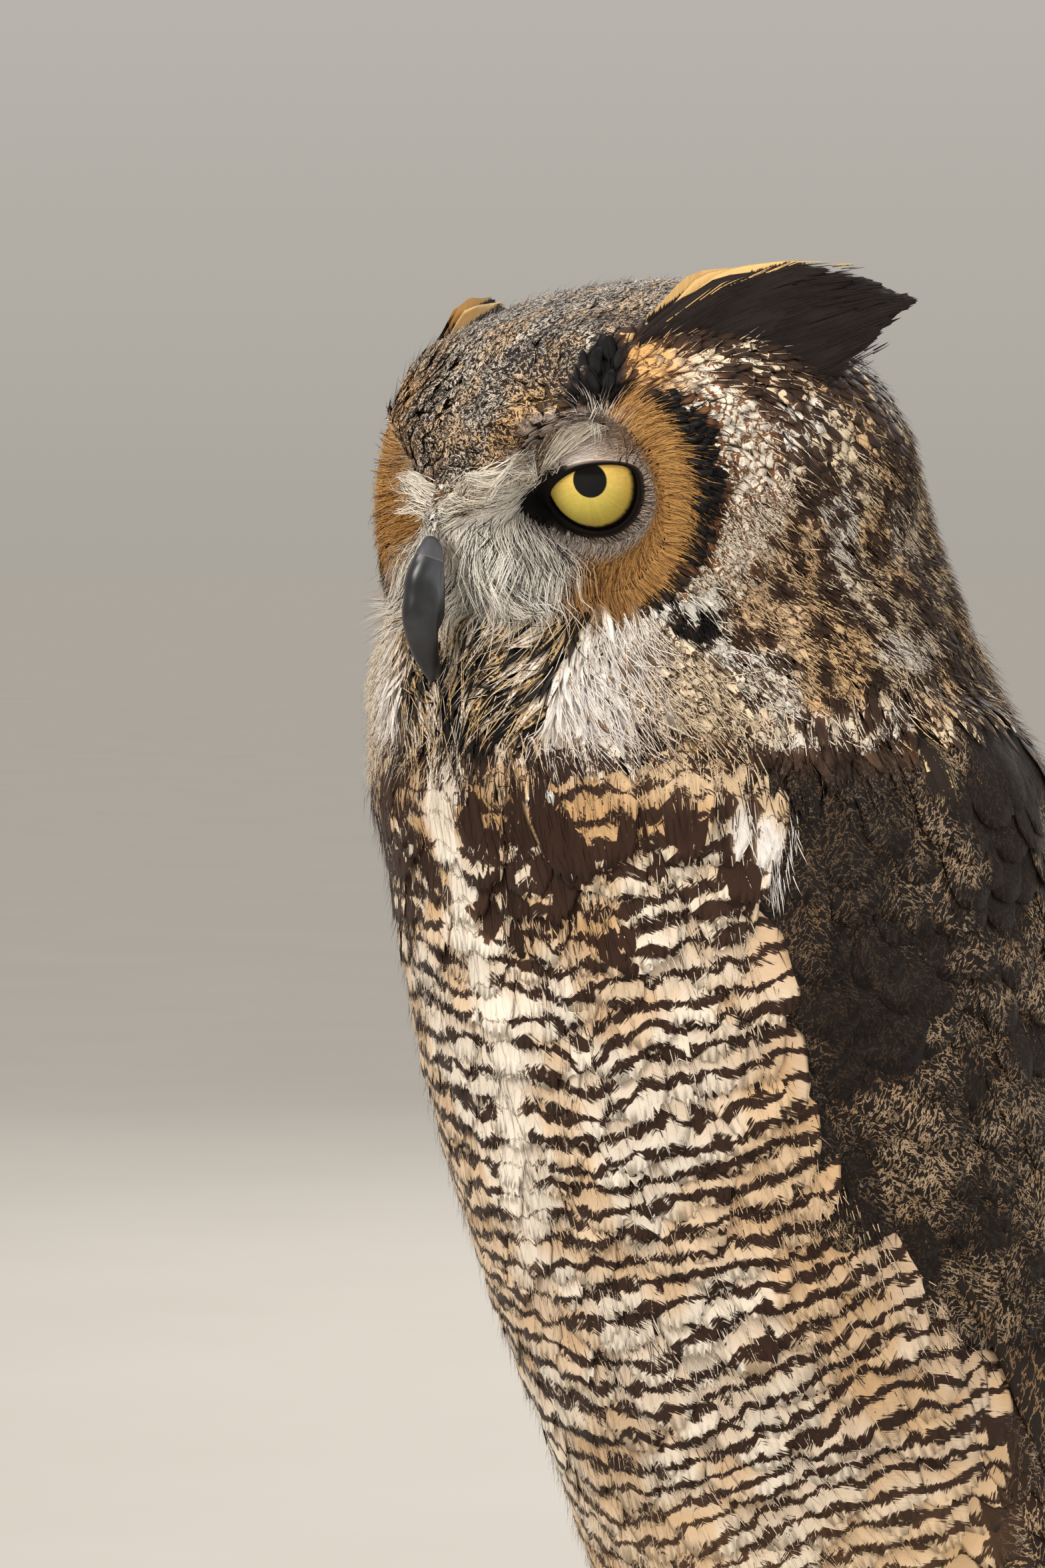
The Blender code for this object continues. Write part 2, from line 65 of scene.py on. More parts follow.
# Sizes ----------------------------------------------------------------------------------------
HEAD_TURN = Matrix.Rotation(math.radians(-5), 4, "Z") @ Matrix.Rotation(math.radians(15), 4, "X")
EYE_RADIUS = 14.5
EYE_SPLAY = math.radians(27)
EYE_FRONT = Vector((28, -36, 15))  # an eyeball's front in head coordinates: left, back, up
EYE_NUDGE = Vector((-1.2, -0.8, 0))  # the eyeball that shows sits a little nearer the bill than the frame's
IRIS_RADIUS = 10.6
PUPIL_RADIUS = 3.9
SIDES = (("left", 1), ("right", -1))
BODY_NODES = ("head", "neck", "trunk")
LIMB_NODES = ("wing", "leg", "foot")
# how far inside the frame's flesh the skin lies
COAT_DEPTH = {"head": 2.4, "neck": 4.2, "trunk": 5.0, "wing": 3.6, "leg": 3.2, "foot": 1.5}
SKIN_VOXEL = 2.2
BILL_DEPTH = 4.8  # further behind its ridge than this, the bill is drawn in
CERE_LEAN, CERE_LINE = math.radians(40), -37.0  # the ridge across the top of the bill
# the bill's ridge in head coordinates: height, how far forward
BILL_RIDGE = ((-23, -69.0), (-20, -70.6), (-16, -72.4), (-12, -73.2), (-7, -73.2), (-3, -72.4), (1, -70.6),
              (5, -68.2), (9, -65.4), (14, -62.2))
WING_OVERLAP = 7.0  # how far the wing's feathers reach over the sides of the breast
BROW_RAISE, BRIDGE_RAISE, LORES_PUFF = 3.4, 4.6, 7.5  # how far the skin is raised in each place
GAP_CLOSE = 0.45  # how far the flesh is swollen, to close the gaps between its nodes
PATCH = 0.003  # the width of one feather's patch in the bake map


# Small tools ----------------------------------------------------------------------------------
def srgb(red, green, blue):
    """A colour given as display values from 0 to 255, in linear light."""
    values = np.array((red, green, blue), float) / 255
    return np.where(values <= 0.04045, values / 12.92, ((values + 0.055) / 1.055) ** 2.4)


def unit(vectors):
    return vectors / np.maximum(np.linalg.norm(vectors, axis=-1, keepdims=True), 1e-9)


def ease(value, low, high):
    """0 below low, 1 above high, smooth between."""
    share = np.clip((value - low) / (high - low), 0, 1)
    return share * share * (3 - 2 * share)


def bump(value, centre, width):
    return np.exp(-(((value - centre) / width) ** 2))


def sides_of(points):
    """1 for points on the owl's left and -1 for those on its right."""
    return np.where(points[:, 0] >= 0, 1.0, -1.0)


def ways(count, out, back, up):
    """Directions from their three parts, each one value for all or one for each."""
    return np.stack([np.broadcast_to(part, count).astype(float) for part in (out, back, up)], axis=1)


def runs(start, end, steps):
    """From each start to each end in even steps."""
    return start[:, None] + (end - start)[:, None] * np.linspace(0, 1, steps + 1)[None, :]


def flatten(vectors, normals):
    """The part of each vector that lies in the surface."""
    return vectors - normals * np.sum(vectors * normals, axis=-1, keepdims=True)


def noise_at(points, size, seed):
    """Smooth noise from 0 to 1 at points, with lumps about as wide as size."""
    cells = points / size + seed * 17.31
    base = np.floor(cells).astype(np.int64)
    part = cells - base
    part = part * part * (3 - 2 * part)
    total = np.zeros(len(points))
    for corner in range(8):
        step = np.array([(corner >> axis) & 1 for axis in range(3)])
        key = (base + step) @ np.array([374761393, 668265263, 2147483647]) + seed * 974711
        key = (key ^ (key >> 13)) * 1274126177
        value = ((key ^ (key >> 16)) & 0xFFFF) / 65535
        weight = np.prod(np.where(step, part, 1 - part), axis=1)
        total += weight * value
    return total


def points_of(mesh):
    flat = np.empty(len(mesh.vertices) * 3)
    mesh.vertices.foreach_get("co", flat)
    return flat.reshape(-1, 3) / MM


def triangles_of(mesh):
    mesh.calc_loop_triangles()
    flat = np.empty(len(mesh.loop_triangles) * 3, np.int32)
    mesh.loop_triangles.foreach_get("vertices", flat)
    return flat.reshape(-1, 3)


def tree_of(points):
    """A tree that finds which of the listed points lie near a place."""
    tree = KDTree(len(points))
    for i, point in enumerate(points):
        tree.insert(point, i)
    tree.balance()
    return tree


def mesh_of(bm, name):
    """A mesh made from a finished bmesh, which is freed."""
    mesh = bpy.data.meshes.new(name)
    bm.to_mesh(mesh)
    bm.free()
    return mesh


def add_object(name, mesh):
    obj = bpy.data.objects.new(name, mesh)
    bpy.context.scene.collection.objects.link(obj)
    return obj


class Surface:
    """A triangle surface that answers where its nearest points are, with smooth normals."""

    def __init__(self, points, triangles):
        self.points, self.triangles = points, triangles
        corners = points[triangles]
        faces = np.cross(corners[:, 1] - corners[:, 0], corners[:, 2] - corners[:, 0])
        normals = np.zeros_like(points)
        for corner in range(3):
            np.add.at(normals, triangles[:, corner], faces)
        self.normals = unit(normals)
        self.areas = np.linalg.norm(faces, axis=1) / 2
        self.tree = BVHTree.FromPolygons(points.tolist(), triangles.tolist())

    def shares(self, places, index):
        """How much of each corner of its triangle a point has."""
        a, b, c = (self.points[self.triangles[index, k]] for k in range(3))
        first, second, away = b - a, c - a, places - a
        pairs = ((first, first), (first, second), (second, second))
        d00, d01, d11 = (np.sum(p * q, axis=1) for p, q in pairs)
        d20, d21 = np.sum(away * first, axis=1), np.sum(away * second, axis=1)
        base = np.maximum(d00 * d11 - d01 * d01, 1e-12)
        v, w = (d11 * d20 - d01 * d21) / base, (d00 * d21 - d01 * d20) / base
        return np.clip(np.stack([1 - v - w, v, w], axis=1), 0, 1)

    def nearest(self, points):
        found = [self.tree.find_nearest(point) for point in points.tolist()]
        places = np.array([hit[0] for hit in found])
        index = np.array([hit[2] for hit in found])
        shares = self.shares(places, index)
        normals = np.einsum("nk,nkc->nc", shares, self.normals[self.triangles[index]])
        return places, unit(normals), index


# Head coordinates -----------------------------------------------------------------------------
def box_middle(node):
    low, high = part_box(node)
    return (low + high) / 2 / MM


def place_head():
    """From head coordinates, in mm, to the frame's: the eyes' places fix it."""
    splay = Matrix.Rotation(EYE_SPLAY, 3, "Z")
    eye = EYE_FRONT - splay @ Vector((0, -EYE_RADIUS, 0))
    middle = (box_middle("eye_left") + box_middle("eye_right")) / 2
    between = HEAD_TURN.to_3x3() @ Vector((0, eye.y, eye.z))
    return Matrix.Translation(middle - between) @ HEAD_TURN, eye


HEAD, EYE_MIDDLE = place_head()
EYE_MIDDLE += EYE_NUDGE
HEAD_AXES = np.array(HEAD.to_3x3())
HEAD_AT = np.array(HEAD.translation)
ANKLE = np.array((29.0, HEAD_AT[1] + 46, 16.0))


def to_head(points):
    return (points - HEAD_AT) @ HEAD_AXES


def from_head(points):
    return np.asarray(points, float) @ HEAD_AXES.T + HEAD_AT


def eye_axes(side):
    """The eye's axes in head coordinates: outwards, backwards along its line of sight, up."""
    turn = np.array(Matrix.Rotation(side * EYE_SPLAY, 3, "Z"))
    return turn * np.array([side, 1, 1])


def eye_middle(side):
    return np.array((side * EYE_MIDDLE.x, EYE_MIDDLE.y, EYE_MIDDLE.z))


def to_eye(head_points):
    """Each point in the coordinates of the eye on its own side."""
    side = sides_of(head_points)
    out = np.empty_like(head_points)
    for value in (1, -1):
        mine = side == value
        out[mine] = (head_points[mine] - eye_middle(value)) @ eye_axes(value)
    return out


def round_eye(head_points):
    """Distance from the line of sight, and the angle round it: 0 outwards, 90 up, 180 inwards."""
    local = to_eye(head_points)
    radius = np.hypot(local[:, 0], local[:, 2])
    return radius, np.degrees(np.arctan2(local[:, 2], local[:, 0])), local[:, 1]


# The skin -------------------------------------------------------------------------------------
def flesh_nodes():
    names = list(BODY_NODES)
    names += [f"{limb}_{word}" for limb in LIMB_NODES for word, _ in SIDES]
    return names


def flesh_surface():
    """The frame's flesh, with the node that each triangle comes from."""
    points, triangles, owners = [], [], []
    for name in flesh_nodes():
        mesh = frame["nodes"][name].data
        triangles.append(triangles_of(mesh) + sum(len(p) for p in points))
        owners += [name.split("_")[0]] * len(triangles[-1])
        points.append(points_of(mesh))
    return Surface(np.vstack(points), np.vstack(triangles)), np.array(owners)


def swollen_copy():
    """All the flesh in one mesh, swollen until the thin gaps between its nodes are closed."""
    whole = bmesh.new()
    for name in flesh_nodes():
        piece = bmesh.new()
        piece.from_mesh(frame["nodes"][name].data)
        bmesh.ops.remove_doubles(piece, verts=piece.verts, dist=1e-6)
        piece.normal_update()
        for vert, normal in [(vert, vert.normal.copy()) for vert in piece.verts]:
            vert.co += normal * GAP_CLOSE * MM
        whole.from_mesh(mesh_of(piece, "held"))
    return mesh_of(whole, "skin")


def remeshed(mesh, voxel):
    obj = add_object("remeshing", mesh)
    step = obj.modifiers.new("remesh", "REMESH")
    step.mode = "VOXEL"
    step.voxel_size = voxel * MM
    graph = bpy.context.evaluated_depsgraph_get()
    made = bpy.data.meshes.new_from_object(obj.evaluated_get(graph))
    bpy.data.objects.remove(obj)
    return made


def neighbours_of(mesh):
    flat = np.empty(len(mesh.edges) * 2, np.int32)
    mesh.edges.foreach_get("vertices", flat)
    return flat.reshape(-1, 2)


def relaxed(values, edges, count):
    """Values at vertices, each drawn towards the mean of its neighbours, count times."""
    degree = np.bincount(edges.ravel(), minlength=len(values))[:, None]
    values = values.reshape(len(values), -1)
    for _ in range(count):
        total = np.zeros_like(values)
        np.add.at(total, edges[:, 0], values[edges[:, 1]])
        np.add.at(total, edges[:, 1], values[edges[:, 0]])
        values = values + 0.5 * (total / np.maximum(degree, 1) - values)
    return values


def make_skin():
    """The remeshed flesh, drawn in by the coat's depth. Returns the mesh and each vertex's part."""
    flesh, owners = flesh_surface()
    mesh = remeshed(swollen_copy(), SKIN_VOXEL)
    points, edges = points_of(mesh), neighbours_of(mesh)
    _, _, index = flesh.nearest(points)
    parts = owners[index]
    depth = np.array([COAT_DEPTH[part] for part in parts])[:, None]
    depth = relaxed(depth, edges, 12) + GAP_CLOSE
    points = relaxed(points, edges, 3)
    surface = Surface(points, triangles_of(mesh))
    points = points - surface.normals * depth
    points = relaxed(points, edges, 3)
    return mesh, points, parts


# The lids -------------------------------------------------------------------------------------
LID_TURNS, LID_RINGS = 72, 12
LID_LINE = 3.3  # the upper lid's edge stands this far above the pupil's middle
LID_TILT, LID_BEND = -0.166, 0.0286  # its slope at the middle, and how fast it curves down
PUPIL_OUT, PUPIL_UP = 1.5, 0.5  # how far the pupil is painted off the eyeball's axis
IRIS_IN, IRIS_UP = -0.5, -0.7  # and the iris, a little nearer the bill
LID_EDGE_RADIUS = 11.3
UPPER_LID_AT = 84.0  # the middle of the upper lid, in degrees round the line of sight
LID_RIM = ((0, 0.1), (0.35, 0.8), (1.0, 1.25), (1.9, 1.45))  # its rings: past the edge, above the ball
LIDS_OUT, LOWER_LIDS_MORE = 17.5, 6.5  # where the lids meet the skin, above the eye and how much more below
BROAD_LID = 0.6  # the sine of the angle above which the lid is the upper one


def lid_edge(angle):
    """How far the lids' edge is from the line of sight: a circle cut off by the arched upper lid."""
    up, out = math.sin(angle), math.cos(angle)
    toward, beside = IRIS_IN * out + IRIS_UP * up, IRIS_IN * up - IRIS_UP * out
    ring = toward + math.sqrt(LID_EDGE_RADIUS**2 - beside**2)
    if up < -0.4:
        return ring
    slope = up + LID_TILT * out
    bend = LID_BEND * out**2 + 1e-4
    line = (math.sqrt(slope**2 + 4 * bend * LID_LINE) - slope) / (2 * bend)
    return (ring**-8 + line**-8) ** (-1 / 8)


def lid_edges(angles):
    """The lids' edge at many angles, given in degrees."""
    return np.array([lid_edge(math.radians(angle)) for angle in angles])


def lid_reach(angle):
    """How far out the lids run before they meet the rest of the skin."""
    up = math.sin(angle)
    return LIDS_OUT + LOWER_LIDS_MORE * min(1, max(0, BROAD_LID - up) / 0.9)


def add_lids(bm, surface, side):
    """A ring of skin from the edge of the lids to the face, over the eyeball."""
    axes, middle = eye_axes(side), eye_middle(side)

    def world(x, y, z):
        return from_head(axes @ np.array((x, y, z)) + middle)

    forward = HEAD_AXES @ (axes @ np.array((0, -1, 0)))
    rings = []
    for turn in range(LID_TURNS):
        angle = 2 * math.pi * turn / LID_TURNS
        across, up = math.cos(angle), math.sin(angle)
        edge, reach = lid_edge(angle), lid_reach(angle)
        start = world(across * reach, -60, up * reach)
        hit = surface.tree.ray_cast(Vector(start), Vector(-forward))
        outer = np.array(hit[0]) if hit[0] is not None else world(across * reach, -20, up * reach)
        outer_y = (((outer - HEAD_AT) @ HEAD_AXES - middle) @ axes)[1] + 0.5
        row = []
        for ring in range(LID_RINGS):
            if ring < len(LID_RIM):
                radius, ball = edge + LID_RIM[ring][0], EYE_RADIUS + LID_RIM[ring][1]
                depth = -math.sqrt(max(ball**2 - radius**2, 4))
            else:
                share = (ring - 3) / (LID_RINGS - len(LID_RIM))
                inner = edge + LID_RIM[-1][0]
                radius = inner + (reach - inner) * share
                ball = -math.sqrt(max((EYE_RADIUS + 1.5) ** 2 - radius**2, 16))
                slope = -math.sqrt(max((EYE_RADIUS + 1.45) ** 2 - inner**2, 4))
                slope += (outer_y - slope) * share**1.1
                blend = min(1, share * 1.6) if up < 0.3 else min(1, max(0, share - 0.45) / 0.55) ** 1.5
                depth = ball * (1 - blend) + (outer_y if up > BROAD_LID else slope) * blend
            row.append(bm.verts.new(Vector(world(across * radius, depth, up * radius)) * MM))
        rings.append(row)
    faces = []
    for turn in range(LID_TURNS):
        here, there = rings[turn], rings[(turn + 1) % LID_TURNS]
        for ring in range(LID_RINGS - 1):
            corners = (here[ring], there[ring], there[ring + 1], here[ring + 1])
            faces.append(bm.faces.new(corners))
    bmesh.ops.recalc_face_normals(bm, faces=faces)
    ahead = Vector(forward)
    if sum(face.normal.dot(ahead) for face in faces) < 0:
        bmesh.ops.reverse_faces(bm, faces=faces)


def open_sockets(bm):
    """Takes away the remeshed skin where the lids lie."""
    points = np.array([vert.co for vert in bm.verts]) / MM
    radius, angle, depth = round_eye(to_head(points))
    reach = np.array([lid_reach(math.radians(value)) for value in angle])
    gone = (radius < reach - 0.6) & (depth < -1) & (depth > -40)
    gone |= (radius < EYE_RADIUS + 2.5) & (np.abs(depth) < EYE_RADIUS + 3)
    bm.verts.ensure_lookup_table()
    bmesh.ops.delete(bm, geom=[bm.verts[i] for i in np.flatnonzero(gone)], context="VERTS")


def brow_line(x):
    """The height in the head of the pale brow's middle, x from the midline."""
    return np.interp(x, (0, 6, 11, 17.6, 23, 27, 32), (15.5, 16.5, 19.3, 21.7, 23.5, 27, 31))


def raised_brow(points):
    """The skin with the crown's pad raised over the brow, and the bridge between the eyes."""
    head = to_head(points)
    x, y, z = np.abs(head[:, 0]), head[:, 1], head[:, 2]
    over = z - brow_line(x)
    pad = ease(over, -0.5, 3.0) * ease(-y, 12, 30) * ease(x, 38, 27)
    away = round_eye(head)[0]
    puff = bump(x, 18, 9) * bump(z, 1, 10) * ease(-y, 32, 40) * ease(away, 14, 19) * LORES_PUFF
    bridge = ease(over, 1, -2) * ease(z, -6, 4) * ease(-y, 35, 42) * ease(x, 21, 9)
    pad = pad + bump(over, -1.5, 4) * ease(-y, 26, 38) * ease(x, 22, 14) * 0.9
    outward = unit(head - (0, 5, 8)) @ HEAD_AXES.T
    return points + outward * (BROW_RAISE * pad + BRIDGE_RAISE * bridge + puff)[:, None]


def finished_skin():
    mesh, points, parts = make_skin()
    points = raised_brow(points)
    mesh.vertices.foreach_set("co", (points * MM).ravel())
    whole = Surface(points, triangles_of(mesh))
    bm = bmesh.new()
    bm.from_mesh(mesh)
    open_sockets(bm)
    for _, side in SIDES:
        add_lids(bm, whole, side)
    bmesh.ops.triangulate(bm, faces=bm.faces)
    bm.to_mesh(mesh)
    bm.free()
    mesh.shade_smooth()
    tree = tree_of(points.tolist())
    points_now = points_of(mesh)
    parts = parts[[tree.find(point)[1] for point in points_now.tolist()]]
    for word, _ in SIDES:
        node = frame["nodes"][f"wing_{word}"].data
        places, _, _ = Surface(points_of(node), triangles_of(node)).nearest(points_now)
        near = np.linalg.norm(places - points_now, axis=1) < WING_OVERLAP
        parts = np.where((parts == "trunk") & near, "wing", parts)
    return mesh, Surface(points_now, triangles_of(mesh)), parts


SKIN_MESH, SKIN, SKIN_PARTS = finished_skin()


# Roots and lines ------------------------------------------------------------------------------
def scatter(surface, zone, spacing, seed):
    """Points spread evenly, spacing apart, over the triangles with most corners in the zone."""
    rng = np.random.default_rng(seed)
    chosen = np.flatnonzero(zone[surface.triangles].mean(axis=1) > 0.5)
    area = surface.areas[chosen]
    count = int(area.sum() / spacing**2 * 4.5)
    index = rng.choice(chosen, count, p=area / area.sum())
    first, second = rng.random(count), rng.random(count)
    over = first + second > 1
    first[over], second[over] = 1 - first[over], 1 - second[over]
    corners = surface.points[surface.triangles[index]]
    points = corners[:, 0] + first[:, None] * (corners[:, 1] - corners[:, 0])
    points += second[:, None] * (corners[:, 2] - corners[:, 0])
    listed = points.tolist()
    tree = tree_of(listed)
    open_places, kept = np.ones(count, bool), []
    for i, point in enumerate(listed):
        if open_places[i]:
            kept.append(i)
            open_places[[hit[1] for hit in tree.find_range(point, spacing)]] = False
    return points[kept]


def lay(surface, roots, flow, length, steps, low, high, stray, seed, rise=1.0):
    """Lines of the given lengths laid along the flow, rising from low to high over the skin."""
    rng = np.random.default_rng(seed)
    count = len(roots)
    length, low, high = (np.broadcast_to(value, count).astype(float) for value in (length, low, high))
    place, normal, _ = surface.nearest(roots)
    way = unit(flatten(flow(place), normal))
    turn = rng.normal(0, 1, count)[:, None] * stray
    way = way * np.cos(turn) + np.cross(normal, way) * np.sin(turn)
    lines, normals = np.empty((count, steps + 1, 3)), np.empty((count, steps + 1, 3))
    for step in range(steps + 1):
        height = low + (high - low) * (step / steps) ** rise
        lines[:, step], normals[:, step] = place + normal * height[:, None], normal
        if step == steps:
            break
        ahead = place + way * (length / steps)[:, None]
        place, normal, _ = surface.nearest(ahead)
        wanted = unit(flatten(flow(place), normal))
        wanted = wanted * np.cos(turn) + np.cross(normal, wanted) * np.sin(turn)
        way = unit(flatten(way + wanted, normal))
    return lines, normals


def side_curve(surface, lines, normals, half):
    """How sharply the surface falls away to both sides of each line, in 1/mm."""
    middle = lines.shape[1] // 2
    place, up = lines[:, middle], normals[:, middle]
    ahead = unit(lines[:, middle + 1] - lines[:, middle - 1])
    side = unit(np.cross(ahead, up))
    fall = np.zeros(len(place))
    base, _, _ = surface.nearest(place)
    for way in (-1, 1):
        spot, _, _ = surface.nearest(place + way * side * half[:, None])
        fall += np.sum((base - spot) * up, axis=1)
    return np.clip(fall / 2 / np.maximum(half, 0.1) ** 2, 0.0, 0.035)


# Meshes of many vanes and barbs ---------------------------------------------------------------
BAR_SPACING = 6.4  # between the dark bars of the breast
WING_BEND = np.array((64, -104, 286))  # the white bend of the left wing, at its front edge
WING_HEM = 172.0  # the height of the folded wing's lower edge
HEM_ROOTS = 20.0  # how far above it the wing's last feathers root, so that they end at it
ROW_STRAY = 2.4  # how far, in mm, one feather's bars may be from its neighbours'
PLAIN_SHAFT = 2.0  # how far from a dark middle a hair's colour is read: 0 shows the middle
BARB_FLATNESS, BARB_SPREAD = 0.45, 0.2  # a hair's thickness for its width, and how uneven the sizes are
BARB_RISE = 1.4  # above 1, a hair lifts off the skin more towards its tip


def mesh_from(name, points, loops, starts, smooth):
    mesh = bpy.data.meshes.new(name)
    mesh.vertices.add(len(points))
    mesh.vertices.foreach_set("co", (points * MM).astype(np.float32).ravel())
    mesh.loops.add(len(loops))
    mesh.loops.foreach_set("vertex_index", loops.astype(np.int32))
    mesh.polygons.add(len(starts))
    mesh.polygons.foreach_set("loop_start", starts.astype(np.int32))
    mesh.polygons.foreach_set("use_smooth", smooth)
    mesh.update(calc_edges=True)
    return mesh


def repeat_faces(faces, smooth, size, count):
    """The faces of one feather, repeated for count feathers of size vertices each."""
    lengths = np.array([len(face) for face in faces])
    flat = np.concatenate([np.array(face) for face in faces])
    loops = (flat[None, :] + np.arange(count)[:, None] * size).ravel()
    ends = np.cumsum(lengths)
    starts = (np.concatenate([[0], ends[:-1]])[None, :] + np.arange(count)[:, None] * ends[-1]).ravel()
    return loops, starts, np.tile(np.array(smooth, bool), count)


class Coat:
    """Feathers gathered for one piece: their points, faces, bake patches and markings."""

    def __init__(self, rows=None):
        self.points, self.loops, self.starts, self.smooth = [], [], [], []
        self.blade, self.patch, self.looks, self.rows = [], [], [], []
        self.total, self.corners, self.row_height = 0, 0, rows

    def add(self, points, faces, smooth, blade, patch, looks):
        count, size = points.shape[:2]
        if not count:
            return
        loops, starts, flags = repeat_faces(faces, smooth, size, count)
        self.points.append(points.reshape(-1, 3))
        self.loops.append(loops + self.total)
        self.starts.append(starts + self.corners)
        self.smooth.append(flags)
        if self.row_height is None:
            height = blade[..., 1] + blade[..., 2] * 40 + np.abs(blade[..., 0]) * 0.2
            spacing = looks["style"][..., 0].reshape(count, -1)
        else:
            height = self.row_height(points.reshape(-1, 3)).reshape(count, size)
            height = height + blade[..., 2] * ROW_STRAY + np.abs(blade[..., 0]) * 0.1
            spacing = BAR_SPACING
        self.rows.append((height / spacing).reshape(-1))
        self.blade.append(blade.reshape(-1, 3))
        self.patch.append(patch.reshape(-1, 2))
        self.looks.append({
            key: value.reshape(-1, 3) if value.ndim == 3 else np.repeat(value, size, axis=0)
            for key, value in looks.items()
        })
        self.total += count * size
        self.corners += len(loops)

    def finish(self, name, slot, material, replaces=()):
        loops = np.concatenate(self.loops)
        mesh = mesh_from(
            name, np.vstack(self.points), loops, np.concatenate(self.starts), np.concatenate(self.smooth)
        )
        layer = mesh.uv_layers.new(name="OFBake")
        patch = np.vstack(self.patch)[loops]
        layer.data.foreach_set("uv", np.clip(patch, 0.0005, 0.9995).astype(np.float32).ravel())
        set_vectors(mesh, "blade", np.vstack(self.blade))
        rows = mesh.attributes.new("rows", "FLOAT", "POINT").data
        rows.foreach_set("value", np.concatenate(self.rows).astype(np.float32))
        for key in self.looks[0]:
            set_vectors(mesh, key, np.vstack([look[key] for look in self.looks]))
        obj = add_object(name, mesh)
        mesh.materials.append(material)
        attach(obj, "root")
        if replaces:
            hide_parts(*replaces)


def looks_along(look_of, points, rng, stray):
    """The markings at each point of each feather, a feather's own shifted a little as one."""
    count, size = points.shape[:2]
    shifted = points + rng.normal(0, stray, (count, 1, 3))
    return {key: value.reshape(count, size, 3) for key, value in look_of(shifted.reshape(-1, 3)).items()}


def set_vectors(mesh, name, values):
    data = mesh.attributes.new(name, "FLOAT_VECTOR", "POINT").data
    data.foreach_set("vector", np.ascontiguousarray(values, np.float32).ravel())


def vane_faces(steps, columns):
    """Faces of one vane: the upper side, then a flat underside and the two ends."""
    wide = columns + 1
    faces, smooth = [], []
    for step in range(steps):
        for column in range(columns):
            a = step * wide + column
            faces.append((a, a + 1, a + wide + 1, a + wide))
            smooth.append(True)
    for step in range(steps):
        a = step * wide
        faces.append((a, a + wide, a + wide + columns, a + columns))
        smooth.append(False)
    faces.append(tuple(range(columns, -1, -1)))
    faces.append(tuple(steps * wide + column for column in range(columns + 1)))
    smooth += [False, False]
    return faces, smooth


def add_vanes(coat, lines, normals, half, looks, spots, columns, curve, seed, camber=0.25, fray=0.3,
              blunt=1.0, base=0.35, taper=0.15, widest=0.45, split=0.0):
    """Vanes along lines: half is half their width. Their tips are round, notched and frayed."""
    rng = np.random.default_rng(seed + 101)
    count, steps = lines.shape[0], lines.shape[1] - 1
    half = np.broadcast_to(half, count).astype(float)
    curve = np.broadcast_to(curve, count).astype(float)
    length = np.linalg.norm(np.diff(lines, axis=1), axis=2).sum(axis=1)
    across = np.linspace(-1, 1, columns + 1)[None, :]
    reach = 1 - blunt * (half / length)[:, None] * (1 - np.sqrt(1 - 0.97 * across**2))
    rough = rng.normal(0, 1, (count, columns + 1)) * fray
    rough -= split * (np.arange(columns + 1) % 2)
    reach = np.clip(reach + rough / length[:, None], 0.35, 1.0)
    share = np.linspace(0, 1, steps + 1)
    along = share[None, :, None] * reach[:, None, :]
    cell = np.minimum((along * steps).astype(int), steps - 1)
    part = (along * steps - cell)[..., None]
    rows = np.arange(count)[:, None, None]
    spine = lines[rows, cell] * (1 - part) + lines[rows, cell + 1] * part
    up = unit(normals[rows, cell] * (1 - part) + normals[rows, cell + 1] * part)
    ahead = unit(lines[rows, cell + 1] - lines[rows, cell])
    side = unit(np.cross(ahead, up))
    wide = base + (1 - base) * ease(share, 0, widest)
    wide = wide * (1 - taper * ease(share, widest, 1.0))
    offset = across[:, None, :] * half[:, None, None] * wide[None, :, None]
    drop = curve[:, None, None] * offset**2 + camber * across[:, None, :] ** 2
    points = spine + side * offset[..., None] - up * drop[..., None]
    blade = np.empty(points.shape)
    blade[..., 0] = offset
    blade[..., 1] = (1 - along) * length[:, None, None]
    blade[..., 2] = rng.random(count)[:, None, None]
    patch = np.empty(points.shape[:3] + (2,))
    patch[..., 0] = spots[:, None, None, 0] + (across[:, None, :] * 0.5) * PATCH
    patch[..., 1] = spots[:, None, None, 1] + (along - 0.5) * PATCH
    faces, smooth = vane_faces(steps, columns)
    size = (steps + 1) * (columns + 1)
    points = points.reshape(count, size, 3)
    if callable(looks):
        looks = looks_along(looks, points, rng, 1.2)
    coat.add(points, faces, smooth, blade.reshape(count, size, 3), patch.reshape(count, size, 2), looks)


def barb_faces(rings):
    faces, smooth = [(0, 1, 2)], [False]
    for ring in range(rings - 1):
        for corner in range(3):
            a, b = ring * 3 + corner, ring * 3 + (corner + 1) % 3
            faces.append((a, a + 3, b + 3, b))
            smooth.append(True)
    last = (rings - 1) * 3
    for corner in range(3):
        faces.append((last + corner, rings * 3, last + (corner + 1) % 3))
        smooth.append(True)
    return faces, smooth


